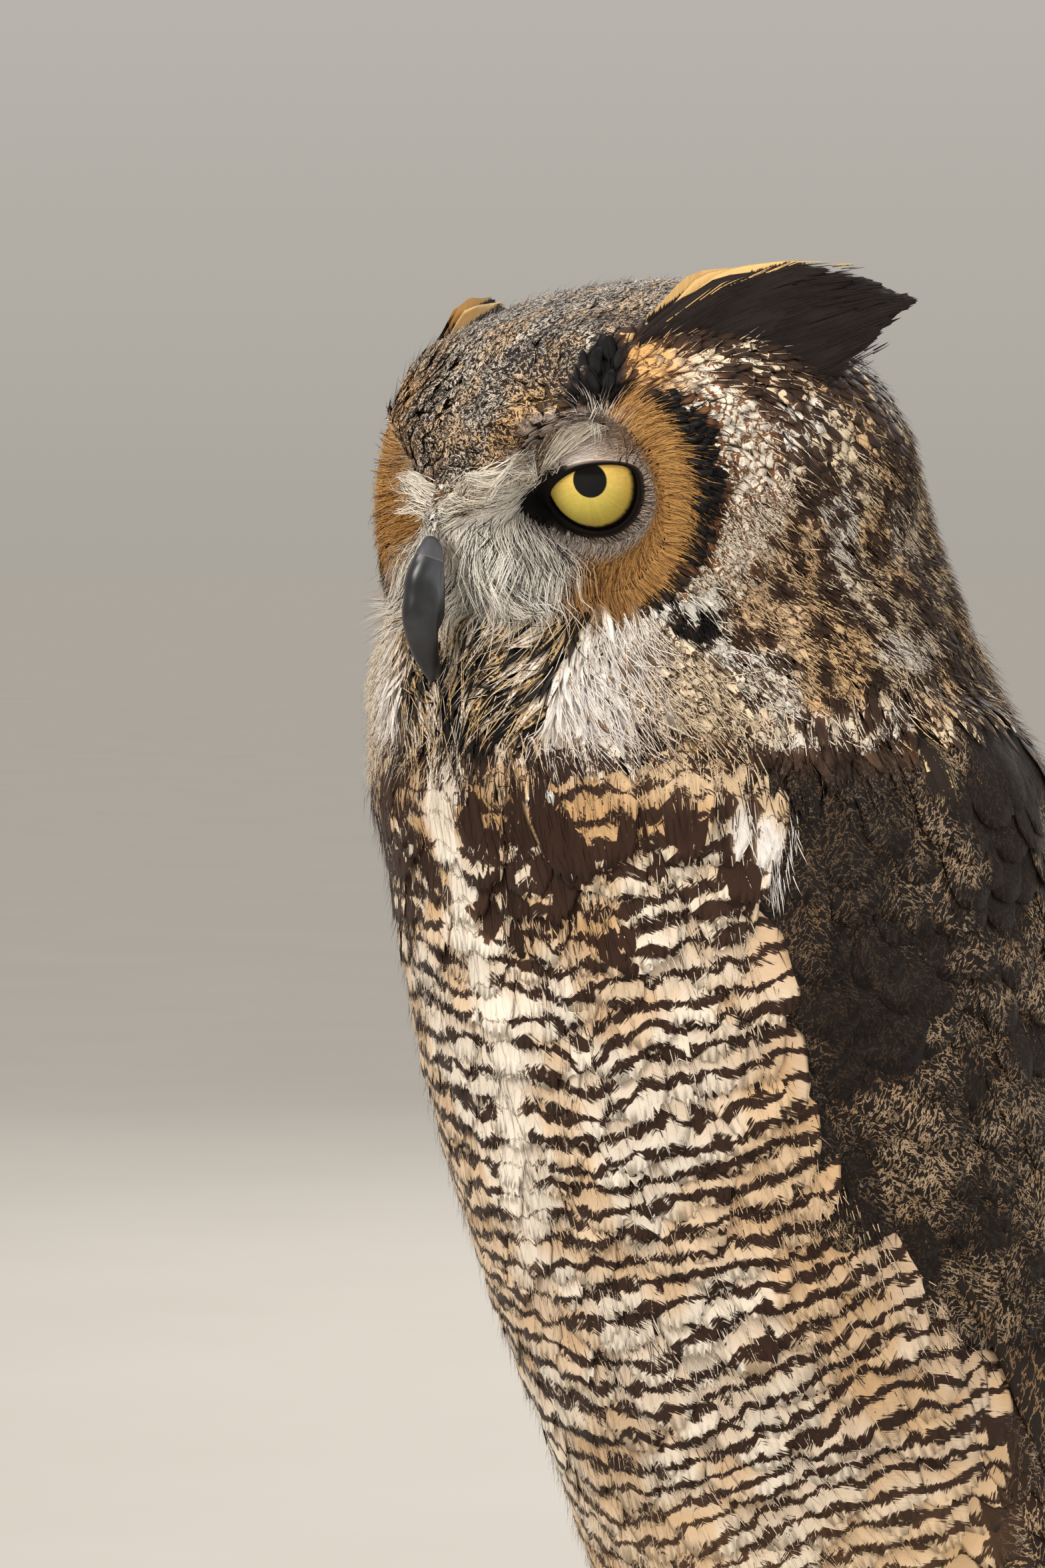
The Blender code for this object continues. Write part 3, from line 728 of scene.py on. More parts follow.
def add_barbs(coat, lines, normals, half, looks, spots, seed, shaft=PLAIN_SHAFT):
    """Fine three-sided hairs along lines, tapering to a point."""
    rng = np.random.default_rng(seed + 202)
    count, rings = lines.shape[0], lines.shape[1] - 1
    half = np.broadcast_to(half, count).astype(float)
    length = np.linalg.norm(np.diff(lines, axis=1), axis=2).sum(axis=1)
    ahead = unit(lines[:, 1:] - lines[:, :-1])
    side = unit(np.cross(ahead, normals[:, :-1]))
    up = np.cross(side, ahead)
    points = np.empty((count, rings * 3 + 1, 3))
    shares = np.arange(rings) / rings
    thick = half[:, None] * (1 - shares[None, :] ** 2 * 0.75)
    for corner, (out, rise) in enumerate(((-1, -0.4), (1, -0.4), (0, 0.8))):
        points[:, corner:-1:3] = (
            lines[:, :-1] + side * (thick * out)[..., None] + up * (thick * rise * BARB_FLATNESS)[..., None]
        )
    points[:, -1] = lines[:, -1]
    blade = np.zeros(points.shape)
    along = np.append(np.repeat(shares, 3), 1.0)
    blade[..., 0] = np.broadcast_to(shaft, count)[:, None]
    blade[..., 1] = (1 - along)[None, :] * length[:, None]
    blade[..., 2] = rng.random(count)[:, None]
    patch = np.empty(points.shape[:2] + (2,))
    patch[..., 0] = spots[:, None, 0] + np.append(np.tile([-0.5, 0.5, 0], rings), 0)[None, :] * PATCH
    patch[..., 1] = spots[:, None, 1] + (along[None, :] - 0.5) * PATCH
    faces, smooth = barb_faces(rings)
    if callable(looks):
        looks = looks_along(looks, points, rng, 0.5)
    coat.add(points, faces, smooth, blade, patch, looks)


# The lie of the coat --------------------------------------------------------------------------
def down_flow(points):
    """Down the body, leaning back towards the tail lower down."""
    lean = np.interp(points[:, 2], (60, 130, 180, 240, 300), (1.3, 0.75, 0.45, 0.2, 0.05))
    way = np.zeros_like(points)
    way[:, 1], way[:, 2] = lean, -1
    way[:, 0] = 0.10 * np.sign(points[:, 0]) * ease(np.abs(points[:, 0]), 4, 30)
    return unit(way)


def wing_flow(points):
    lean = np.interp(points[:, 2], (50, 90, 150, 210, 300), (1.5, 1.1, 0.75, 0.35, 0.1))
    way = np.zeros_like(points)
    way[:, 1], way[:, 2] = lean, -1
    return unit(way)


def leg_flow(points):
    return np.tile([0.0, -0.05, -1.0], (len(points), 1))


def ankle(points):
    """The middle of the ankle on each point's own side."""
    return sides_of(points)[:, None] * (ANKLE * (1, 0, 0)) + ANKLE * (0, 1, 1)


def foot_flow(points):
    way = points - ankle(points)
    way[:, 2] = -4.0
    return unit(way)


def lores_way(head):
    """From between the eyes forward and down past the bill, fanning outward."""
    side = sides_of(head)
    outward = np.interp(np.abs(head[:, 0]), (4, 15, 25), (0.05, 0.55, 0.95))
    forward = np.interp(np.abs(head[:, 0]), (4, 15, 25), (-0.8, -0.6, -0.4))
    return unit(ways(len(head), outward * side, forward, -1.0))


def head_flow(points):
    """Round the face out from each eye, back over the crown, and down the sides of the head."""
    head = to_head(points)
    side = sides_of(head)
    x, y, z = np.abs(head[:, 0]), head[:, 1], head[:, 2]
    radius, _, depth = round_eye(head)
    count = len(head)
    radial = unit(head - ways(count, side * EYE_MIDDLE.x, EYE_MIDDLE.y, EYE_MIDDLE.z))
    over = ways(count, 0.16 * side * ease(x, 2, 30), 0.9, -0.5 * ease(y, 5, 45))
    down = ways(count, 0.1 * side, 0.42, -1.0)
    brow = ways(count, 0.75 * side, 0.5, 0.55)
    face = (ease(radius, 37, 31) * ease(depth, -2, -8))[:, None]
    crown = (ease(z, 12, 30) * ease(np.abs(x), 62, 40))[:, None]
    way = down * (1 - crown) + unit(over) * crown
    near_brow = (bump(z, 22, 9) * ease(y, -30, -40) * ease(x, 30, 18))[:, None]
    way = way * (1 - near_brow) + unit(brow) * near_brow
    way = way * (1 - face) + radial * face
    near_bill = (ease(x, 27, 20) * ease(-y, 34, 42) * ease(z, 14, 6) * ease(radius, 14.5, 18))[:, None]
    way = way * (1 - near_bill) + lores_way(head) * near_bill
    cheek = ways(count, -0.62 * side * ease(x, 3, 12), -0.62, -0.5)
    chin = (ease(-z, 10, 14) * ease(-z, 40, 34) * ease(x, 30, 23) * ease(-y, 34, 40))[:, None]
    way = way * (1 - chin) + unit(cheek) * chin
    return unit(way) @ HEAD_AXES.T


# Markings -------------------------------------------------------------------------------------
# ground, mark, bars, flecks, half width of the dark middle, spacing, warmth at the base
LOOKS = {
    "crown": ((224, 208, 188), (40, 29, 23), 0.0, 0.16, 9, 3.8, 0.1),
    "warm_crown": ((216, 174, 122), (52, 35, 26), 0.0, 0.22, 9, 3.8, 0.1),
    "brow": ((254, 245, 228), (150, 112, 72), 0.0, 0.0, 0, 3.0, 0.1),
    "black": ((36, 27, 22), (15, 11, 10), 0.0, 0.0, 9, 3.0, 0.0),
    "rufous": ((224, 172, 108), (96, 60, 34), 0.1, 0.0, 0, 4.0, 0.2),
    "disc": ((208, 158, 92), (96, 62, 34), 0.0, 0.0, 0.5, 5.0, 0.0),
    "disc_low": ((190, 140, 84), (44, 29, 21), 0.0, 0.0, 0.5, 5.0, 0.0),
    "lores": ((254, 247, 234), (22, 17, 16), 0.0, 0.0, 0.5, 3.0, 0.0),
    "ring": ((214, 200, 188), (90, 76, 68), 0.0, 0.0, 0.5, 3.0, 0.0),
    "upper_lid": ((252, 240, 230), (222, 204, 192), 0.0, 0.0, 0.3, 3.0, 0.0),
    "spots": ((244, 231, 210), (136, 90, 56), 0.3, 0.0, 0, 2.6, 0.2),
    "side": ((240, 218, 184), (82, 58, 42), 0.22, 0.0, 0, 3.6, 0.3),
    "side_white": ((252, 245, 234), (110, 82, 62), 0.1, 0.0, 0, 3.6, 0.1),
    "side_ochre": ((230, 188, 132), (84, 56, 38), 0.2, 0.0, 0, 3.6, 0.4),
    "blob": ((150, 118, 84), (62, 44, 33), 0.0, 0.0, 9, 3.6, 0.1),
    "nape": ((214, 178, 128), (42, 31, 25), 0.5, 0.0, 0, 4.6, 0.4),
    "bib": ((252, 244, 236), (160, 130, 100), 0.0, 0.0, 0, 3.0, 0.0),
    "ruff": ((252, 246, 234), (70, 52, 40), 0.0, 0.0, 0, 3.0, 0.1),
    "chin": ((232, 196, 142), (34, 26, 22), 0.0, 0.0, 0.42, 3.0, 0.2),
    "blotch": ((206, 172, 130), (56, 36, 26), 0.0, 0.0, 9, 6.4, 0.2),
    "pale_breast": ((236, 222, 200), (60, 40, 29), 0.44, 0.0, 0, 6.4, 0.4),
    "ochre_breast": ((208, 166, 112), (62, 40, 28), 0.48, 0.0, 0, 6.4, 0.4),
    "barred": ((240, 228, 210), (56, 37, 26), 0.34, 0.0, 0, 6.4, 0.3),
    "flank": ((218, 178, 128), (56, 37, 27), 0.37, 0.0, 0, 6.4, 0.4),
    "stripe": ((246, 236, 220), (110, 80, 56), 0.05, 0.0, 0, 6.4, 0.1),
    "wing": ((170, 146, 118), (34, 25, 19), 0.0, 0.14, 30, 5.0, 0.1),
    "wing_dark": ((130, 106, 82), (27, 19, 15), 0.0, 0.03, 30, 5.0, 0.2),
    "scapular": ((248, 222, 166), (50, 38, 30), 0.0, 0.0, 2.5, 6.0, 0.2),
    "back": ((172, 144, 108), (36, 26, 20), 0.0, 0.14, 30, 6.0, 0.2),
    "leg": ((232, 206, 166), (120, 88, 60), 0.14, 0.0, 0, 5.0, 0.3),
    "toe": ((236, 220, 192), (120, 92, 66), 0.05, 0.0, 0, 3.0, 0.2),
    "quill": ((158, 130, 98), (46, 35, 28), 0.5, 0.1, 0, 17.0, 0.15),
    "tuft": ((190, 140, 80), (36, 26, 22), 0.0, 0.0, 30, 5.0, 0.2),
    "tuft_edge": ((232, 190, 124), (40, 30, 25), 0.0, 0.0, 1.2, 5.0, 0.1),
}


def mixed_looks(count, base, layers):
    """The looks of count feathers: a base look with others laid over it, each by its weight."""
    def columns(name):
        ground, mark, *numbers = LOOKS[name]
        return np.concatenate([srgb(*ground), srgb(*mark), numbers, [0]])

    value = np.tile(columns(base), (count, 1))
    for name, weight in layers:
        weight = np.clip(weight, 0, 1)[:, None]
        value = value * (1 - weight) + columns(name) * weight
    return {"ground": value[:, :3], "mark": value[:, 3:6], "plan": value[:, 6:9], "style": value[:, 9:12]}


def disc_edge(angle):
    """How far the facial disc reaches from the line of sight, by the angle round the eye."""
    angles = (-180, -110, -70, -30, 0, 25, 45, 70, 100, 180)
    return np.interp(angle, angles, (30, 29, 30, 31, 30, 28.5, 26, 20, 18, 30))


def rim_width(angle):
    return 1.0 + 4.2 * bump(angle, 4, 46) - 1.0 * ease(angle, 30, 50)


def crown_edge(y):
    """How far from the midline the dark crown reaches."""
    return 31 + 0.55 * np.clip(y + 14, 0, 60)


def lid_margin(angle):
    """The width of the bare dark skin round the lids, wide at the inner corner."""
    inner = bump((angle % 360) - 188, 0, 38)
    return 1.4 + 4.8 * inner


def chin_half(z):
    """How far from the midline the streaked chin reaches, by height in the head."""
    return np.interp(-z, (10, 24, 41), (34, 29, 22))


def patch_at(head, middle, size):
    """1 in the middle of an egg-shaped patch on each side of the head, fading to 0 past its edge."""
    away = (np.abs(head * (1, 0, 0)) + head * (0, 1, 1) - middle) / size
    return np.exp(-(np.sum(away**2, axis=1) ** 1.5))


def head_looks(points):
    head = to_head(points)
    x, y, z = np.abs(head[:, 0]), head[:, 1], head[:, 2]
    radius, angle, depth = round_eye(head)
    wobble = (noise_at(points, 5, 1) - 0.5) * 5
    fine = (noise_at(points, 2.2, 2) - 0.5) * 3
    front = ease(depth, -2, -7)
    edge, width = disc_edge(angle), rim_width(angle)
    over = z - brow_line(x)
    under = ease(over, 1.5, -0.5)
    crown = ease(crown_edge(y) - x + fine, -1.5, 1.5) * ease(over + fine * 0.6, 1.4, 3.0)
    warm_crown = crown * ease(x + wobble * 1.4, 12, 22) * ease(z, 44, 35) * ease(-y, 18, 26)
    warm_crown += crown * ease(noise_at(points, 7, 14), 0.56, 0.66) * 0.6
    nape = ease(y + wobble, 8, 30)
    brow = bump(over, 0.0, 2.3) * ease(-y, 26, 34) * ease(x, 31, 25)
    disc = ease(edge - radius + fine * 0.5, -1, 1) * front
    inwards = ease(np.abs(angle + 10), 92, 108)
    low = bump(angle, -92, 30) * ease(radius, 17, 22)
    rim = ease(radius - edge + 1.2 + fine * 0.4, -0.8, 0.8)
    rim *= ease(edge + width - radius - fine * 0.4, -0.8, 0.8)
    rim *= ease(angle, -72, -55) * ease(angle, 50, 36) * front
    spots = ease(radius - edge - width, -1, 1) * ease(radius - edge - width + fine * 2, 12, 8)
    spots *= ease(angle, -60, -40) * ease(angle, 62, 44) * front
    patch = noise_at(points, 9, 11) + fine * 0.04
    white = ease(patch, 0.56, 0.66) + 0.7 * ease(y, -6, -20) * ease(z, 22, 8)
    ochre = ease(noise_at(points, 11, 12), 0.5, 0.62)
    blobs = noise_at(points * (1, 1, 1.25), 2.7, 19) + (noise_at(points, 9, 20) - 0.5) * 0.35
    past = radius - lid_edges(angle)
    ring = ease(past, 6.5, 4.0) * front
    margin = ease(past - lid_margin(angle), 0.4, -0.2) * front
    upper = ease(radius, 18.5, 16.5) * bump(angle, UPPER_LID_AT, 46) * front
    black = patch_at(head, (34, -34, 36), (7, 8, 6.5)) + patch_at(head, (33, -28, 43), (4, 7, 7))
    below = patch_at(head, (53, -37, -19), (6, 8, 7))
    black += below * ease(noise_at(points, 3, 22), 0.3, 0.6) * 0.8
    black = ease(black + wobble * 0.05, 0.35, 0.6)
    rufous = patch_at(head, (43, -26, 37), (9, 10, 8)) + patch_at(head, (38, -24, 45), (5, 8, 6))
    ruff = ease(-z + wobble * 0.5, 9.5, 12) * ease(-z, 26, 21) * ease(y, -26, -34) * ease(x, 16, 24)
    bib = ease(-z, 22, 26) * ease(-z, 41, 37) * ease(y, -30, -40)
    streaks = noise_at(head * (1, 1, 1.6), 3.2, 15)
    chin = ease(-z, 10, 13) * ease(x - chin_half(z) + fine * 0.5, 1.5, -1.5)
    chin *= ease(-y, 34, 42) * ease(-z, 42, 38)
    lores = ease(x, 28, 22) * ease(-y, 34, 42) * under * ease(z, -18, -12)
    layers = [
        ("side_white", white * 0.8), ("side_ochre", ochre * 0.8), ("nape", nape * 0.5),
        ("blob", ease(blobs + 0.06 * nape + 0.06 * ease(z, 12, 30) - 0.06 * white, 0.52, 0.58)),
        ("spots", ease(spots, 0.25, 0.5)), ("crown", crown), ("warm_crown", warm_crown), ("brow", brow),
        ("lores", lores), ("bib", bib), ("ruff", ruff), ("disc", disc * np.maximum(under, 1 - inwards)),
        ("disc_low", disc * low), ("lores", disc * inwards * under), ("rufous", rufous * (1 - ring)),
        ("black", rim), ("chin", chin), ("black", chin * ease(streaks, 0.53, 0.58)),
        ("bib", chin * ease(streaks, 0.4, 0.35) * 0.7), ("black", black), ("upper_lid", upper),
        ("ring", ring * (1 - upper)), ("black", margin),
    ]
    return mixed_looks(len(points), "side", layers)


def brow_looks(points):
    return mixed_looks(len(points), "brow", [("warm_crown", ease(noise_at(points, 3, 18), 0.6, 0.66) * 0.7)])


BREAST_LINE = -7.0  # the pale line down the breast is a little off the middle


def breast_rows(points):
    """The height that the breast's bars follow: they rise away from the middle of the breast."""
    x, y, z = points.T
    out = np.clip(60 * np.abs(np.arctan2(x - BREAST_LINE, -45 - y)), 0, 85)
    return z - 0.0042 * out**2 + (noise_at(points, 18, 9) - 0.5) * 9


def body_looks(points):
    x, y, z = points.T
    fine = noise_at(points, 6, 4) - 0.5
    out = np.abs(x - BREAST_LINE + 4 * np.sin(z / 21))
    stripe = ease(out + fine * 6, 7, 4) * ease(z, 150, 215) * ease(y, -60, -85)
    upper = ease(z + fine * 22 + noise_at(points, 9, 21) * 8 - np.abs(x) * 0.1, 258, 274)
    blots = noise_at(points * (1, 1, 0.85), 6.8, 3) + fine * 0.2 + 0.06 * bump(out, 20, 16)
    blots += (noise_at(points, 2.2, 24) - 0.5) * 0.45
    dark = ease(blots, 0.455, 0.54) * upper * ease(out, 5, 9)
    ochre = ease(noise_at(points, 14, 13) + fine * 0.3, 0.5, 0.62)
    flank = ease(np.abs(x) + fine * 14, 36, 60) * ease(z, 300, 270)
    low = ease(z + fine * 12, 150, 118)
    bib = ease(z + fine * 4, 309, 313) * ease(np.abs(x), 50, 34)
    side = ease(z, 292, 300) * ease(np.abs(x), 30, 48)
    behind = ease(y, -40, -10)
    bend = bump(z, 285, 13) * bump(np.abs(x), 62, 3.0) * ease(y, -92, -100)
    layers = [
        ("flank", ochre * 0.55), ("flank", flank * 0.4), ("pale_breast", upper),
        ("ochre_breast", ochre * upper * 0.8), ("blotch", dark), ("stripe", stripe), ("side", side),
        ("bib", bib), ("leg", low * 0.3), ("back", behind), ("bib", ease(bend, 0.4, 0.6)),
    ]
    return mixed_looks(len(points), "barred", layers)


def neck_looks(points):
    body, head = body_looks(points), head_looks(points)
    share = ease(points[:, 1] - points[:, 2] * 0.25, -185, -172)
    share = np.maximum(share, ease(points[:, 1], -112, -96))
    share = np.maximum(share, ease(points[:, 2], 313, 308))[:, None]
    wing = wing_looks(points)
    low = (ease(points[:, 2], 308, 299) * ease(np.abs(points[:, 0]), 48, 58))[:, None]
    mixed = {key: body[key] * (1 - share) + head[key] * share for key in body}
    return {key: mixed[key] * (1 - low) + wing[key] * low for key in body}


def wing_looks(points):
    _, y, z = points.T
    cluster = noise_at(points, 17, 6) + (noise_at(points, 6, 7) - 0.5) * 0.5
    dark = ease(cluster, 0.64, 0.44)
    front = ease(y - (z - 250) * 0.1, -72, -90) * ease(z, 190, 220)
    cream = bump(z + y * 0.8, 247, 9) * bump(y, -71, 5) * ease(z, 280, 290)
    behind = ease(y, -10, 20)
    bend = bump(z, 285, 13) * bump(y, -107, 3.5)
    layers = [
        ("wing_dark", dark), ("wing_dark", front * 0.8), ("back", behind * 0.6),
        ("scapular", ease(cream, 0.4, 0.6)), ("bib", ease(bend, 0.4, 0.6)),
    ]
    return mixed_looks(len(points), "wing", layers)


def leg_looks(points):
    return mixed_looks(len(points), "leg", [("flank", ease(points[:, 2], 70, 105) * 0.5)])


def foot_looks(points):
    return mixed_looks(len(points), "toe", [("leg", ease(points[:, 2], 14, 24))])


# Where each feather's patch is in the bake map --------------------------------------------------
def unwrap_round(points, centre, low, high, start=0.02, end=0.98):
    """Round an upright line: the angle from the front goes across the map, the height up it."""
    turn = np.arctan2(points[:, 0] - centre[0], -(points[:, 1] - centre[1])) / (2 * np.pi) + 0.5
    rise = np.clip((points[:, 2] - low) / (high - low), 0, 1)
    return np.stack([start + (end - start) * turn, 0.02 + 0.96 * rise], axis=1)


def unwrap_head(points):
    return unwrap_round(to_head(points), (0, 8), -70, 60)


def unwrap_body(points):
    return unwrap_round(points, (0, -50), 40, 410)


def unwrap_pair(points):
    """Legs and feet: the left one in one half of the map and the right one in the other."""
    left = points[:, 0] >= 0
    centre = ankle(points)
    local = points - centre
    spots = unwrap_round(local, (0, 0), -20, 100, 0.01, 0.49)
    spots[~left, 0] += 0.5
    return spots


# Materials ------------------------------------------------------------------------------------
class Value:
    """A socket's value in a material, with arithmetic that adds the nodes it needs."""

    def __init__(self, paint, socket):
        self.paint, self.socket = paint, socket

    def maths(self, operation, *others):
        return self.paint.node("ShaderNodeMath", {"operation": operation}, (self, *others))

    def __add__(self, other):
        return self.maths("ADD", other)

    def __sub__(self, other):
        return self.maths("SUBTRACT", other)

    def __mul__(self, other):
        return self.maths("MULTIPLY", other)

    def __truediv__(self, other):
        return self.maths("DIVIDE", other)

    def __pow__(self, other):
        return self.maths("POWER", other)

    def __rtruediv__(self, other):
        return self.paint.node("ShaderNodeMath", {"operation": "DIVIDE"}, (other, self))

    def __rsub__(self, other):
        return self.paint.node("ShaderNodeMath", {"operation": "SUBTRACT"}, (other, self))

    __radd__, __rmul__ = __add__, __mul__

    def size(self):
        return self.maths("ABSOLUTE")

    def part(self):
        return self.maths("FRACT")

    def most(self, other):
        return self.maths("MAXIMUM", other)

    def between(self, low, high):
        """0 at low, 1 at high, smooth between."""
        return self.paint.node(
            "ShaderNodeMapRange", {"interpolation_type": "SMOOTHSTEP"}, {0: self, 1: low, 2: high}
        )


class Paint:
    """A material whose nodes come from one method."""

    def __init__(self, name, **constants):
        self.material = bpy.data.materials.new(name)
        self.material.use_nodes = True
        self.tree = self.material.node_tree
        self.shader = self.tree.nodes["Principled BSDF"]
        for label, value in constants.items():
            self.shader.inputs[label.replace("_", " ")].default_value = value

    def node(self, kind, settings=None, inputs=(), output=0):
        """A node of a kind: its settings are set first, then its sockets' values or links."""
        made = self.tree.nodes.new(kind)
        for name, value in (settings or {}).items():
            setattr(made, name, value)
        pairs = inputs.items() if isinstance(inputs, dict) else enumerate(inputs)
        for key, value in pairs:
            if isinstance(value, Value):
                self.tree.links.new(value.socket, made.inputs[key])
            else:
                made.inputs[key].default_value = value
        return Value(self, made.outputs[output])

    def attribute(self, name):
        return self.node("ShaderNodeAttribute", {"attribute_name": name}, output="Vector")

    def apart(self, vector):
        first = self.node("ShaderNodeSeparateXYZ", None, (vector,))
        outputs = first.socket.node.outputs
        return [Value(self, outputs[axis]) for axis in range(3)]

    def together(self, x, y, z):
        return self.node("ShaderNodeCombineXYZ", None, (x, y, z))

    def place(self):
        return self.node("ShaderNodeTexCoord", output="Object")

    def vector(self, operation, *inputs, output=0):
        return self.node("ShaderNodeVectorMath", {"operation": operation}, inputs, output)

    def scaled(self, vector, scale):
        return self.vector("MULTIPLY", vector, scale)

    def noise(self, vector, scale, detail, roughness=0.5):
        return self.node(
            "ShaderNodeTexNoise", None,
            {"Vector": vector, "Scale": scale, "Detail": detail, "Roughness": roughness},
        )

    def mix(self, first, second, share):
        first, second = (value if isinstance(value, Value) else (*value, 1.0) for value in (first, second))
        return self.node(
            "ShaderNodeMix", {"data_type": "RGBA"}, {0: share, 6: first, 7: second}, output=2,
        )

    def dimmed(self, colour, amount):
        """A colour times a value."""
        return self.node("ShaderNodeVectorMath", {"operation": "SCALE"}, {0: colour, "Scale": amount})

    def finish(self, colour, roughness=None, height=None, strength=0.3, distance=0.0002):
        wanted = {"Base Color": colour, "Roughness": roughness}
        if height is not None:
            wanted["Normal"] = self.node(
                "ShaderNodeBump", None, {"Strength": strength, "Distance": distance, "Height": height}
            )
        for label, value in wanted.items():
            if value is not None:
                self.tree.links.new(value.socket, self.shader.inputs[label])
        return self.material


def plumage():
    """The coat: bars, flecks and dark middles drawn in each feather's own measures."""
    paint = Paint("plumage", Specular_IOR_Level=0.14, Sheen_Weight=0.03, Sheen_Roughness=0.5)
    across, tip, seed = paint.apart(paint.attribute("blade"))
    bars, flecks, middle = paint.apart(paint.attribute("plan"))
    spacing, warmth, _ = paint.apart(paint.attribute("style"))
    ground, mark = paint.attribute("ground"), paint.attribute("mark")
    place = paint.place()
    rows = paint.node("ShaderNodeAttribute", {"attribute_name": "rows"}, output="Fac")

    side = across.size()
    barb = tip + side * 0.8
    wander = paint.noise(place, 190.0, 2.0) - 0.5
    ragged = paint.noise(paint.together(barb * 1.7, across * 0.16, seed * 61), 1.0, 2.0, 0.7) - 0.5

    wave = (rows + (ragged * 4.0 + wander * 8.0) / spacing).part()
    crest = (wave - 0.5).size() * 2
    patchy = paint.noise(place, 75.0, 2.0).between(0.36, 0.62)
    thick = (paint.noise(place, 150.0, 2.0) - 0.5) * 2.0 + 1
    bar = (bars * thick * 1.2 - crest).between(-0.1, 0.1) * bars.between(0.005, 0.03)
    inner = (middle + ragged * 2.6 - side).between(-0.25, 0.3) * middle.between(0.02, 0.06)
    dark = bar.most(inner)

    scale = 3.0 / spacing
    stretched = paint.together(barb * scale + wander * 2.0, across * scale * 0.7, seed * 37 + wander)
    vein = 1 - ((paint.noise(stretched, 1.0, 3.0, 0.62) - 0.5) * 7.0).size()
    fleck = (vein + flecks * (0.5 + patchy) - 0.86).between(-0.05, 0.22) * flecks.between(0.01, 0.08)
    dark = dark * (1 - fleck)

    ochre = paint.mix(ground, srgb(206, 150, 82), warmth * (tip + ragged * 4).between(3.0, 13.0))
    colour = paint.mix(ochre, mark, dark)
    hairs = paint.noise(paint.together(barb * 5.5, across * 0.25, seed * 19), 1.0, 1.0, 0.5)
    tone = (0.84 + seed * 0.2) + (hairs - 0.5) * 0.34 + wander * 0.12
    shaft = 1 - (0.16 - side).between(0.0, 0.12) * side.between(-1.0, 0.02) * 0.22
    return paint.finish(paint.dimmed(colour, tone * shaft), height=hairs, strength=0.35, distance=0.00025)


def hide():
    """The skin under the coat, in the coat's own colours but darker."""
    paint = Paint("hide", Roughness=0.85, Specular_IOR_Level=0.2)
    bars, flecks, middle = paint.apart(paint.attribute("plan"))
    place = paint.place()
    fine = paint.noise(place, 900.0, 3.0, 0.65)
    dark = (bars * 0.8).most(middle.between(0.3, 3.0) * (1 - flecks * 0.5))
    colour = paint.mix(paint.attribute("ground"), paint.attribute("mark"), dark)
    return paint.finish(paint.dimmed(colour, 0.62 + fine * 0.4), height=fine, strength=0.5, distance=0.0004)


def eye_finish(side):
    """A shiny ball with a yellow iris, fine threads in it, and a round black pupil."""
    paint = Paint(f"eye_{side}", Roughness=0.08, Specular_IOR_Level=0.22)
    axis = HEAD_AXES @ eye_axes(side) @ unit(np.array((side * PUPIL_OUT, -EYE_RADIUS, PUPIL_UP)))
    middle = from_head(eye_middle(side)) * MM
    local = paint.vector("SUBTRACT", paint.place(), tuple(middle))
    along = paint.vector("DOT_PRODUCT", local, tuple(axis), output="Value")
    length = paint.vector("LENGTH", local, output="Value")
    radius = (1 - (along / length) ** 2).most(0.0) ** 0.5 * EYE_RADIUS
    deep = HEAD_AXES @ eye_axes(side) @ unit(np.array((side * IRIS_IN, -EYE_RADIUS, IRIS_UP)))
    beside = paint.vector("DOT_PRODUCT", local, tuple(deep), output="Value")
    edge = (1 - (beside / length) ** 2).most(0.0) ** 0.5 * EYE_RADIUS
    _, _, up = paint.apart(local)
    up = up * (1 / (EYE_RADIUS * MM))
    threads = paint.noise(local, 1400.0, 3.0, 0.6)
    cloud = paint.noise(local, 260.0, 2.0)
    outward = paint.vector("NORMALIZE", paint.vector("SUBTRACT", local, paint.dimmed(tuple(axis), along)))
    spokes = paint.noise(paint.scaled(outward, (14, 14, 14)), 1.0, 2.0)
    yellow = paint.mix(srgb(208, 192, 92), srgb(238, 198, 104), (up + cloud * 0.6).between(-0.5, 0.55))
    yellow = paint.mix(yellow, srgb(214, 150, 48), edge.between(7.6, IRIS_RADIUS) * up.between(-0.1, 0.45))
    yellow = paint.dimmed(yellow, 0.72 + threads * 0.3 + spokes * 0.3)
    rim = (edge + (spokes - 0.5) * 0.5).between(IRIS_RADIUS - 0.9, IRIS_RADIUS + 0.1)
    colour = paint.mix(yellow, srgb(26, 18, 14), rim)
    pupil = (PUPIL_RADIUS + (spokes - 0.5) * 0.12 - radius).between(-0.14, 0.14)
    colour = paint.mix(colour, srgb(7, 6, 7), pupil)
    return paint.finish(colour)


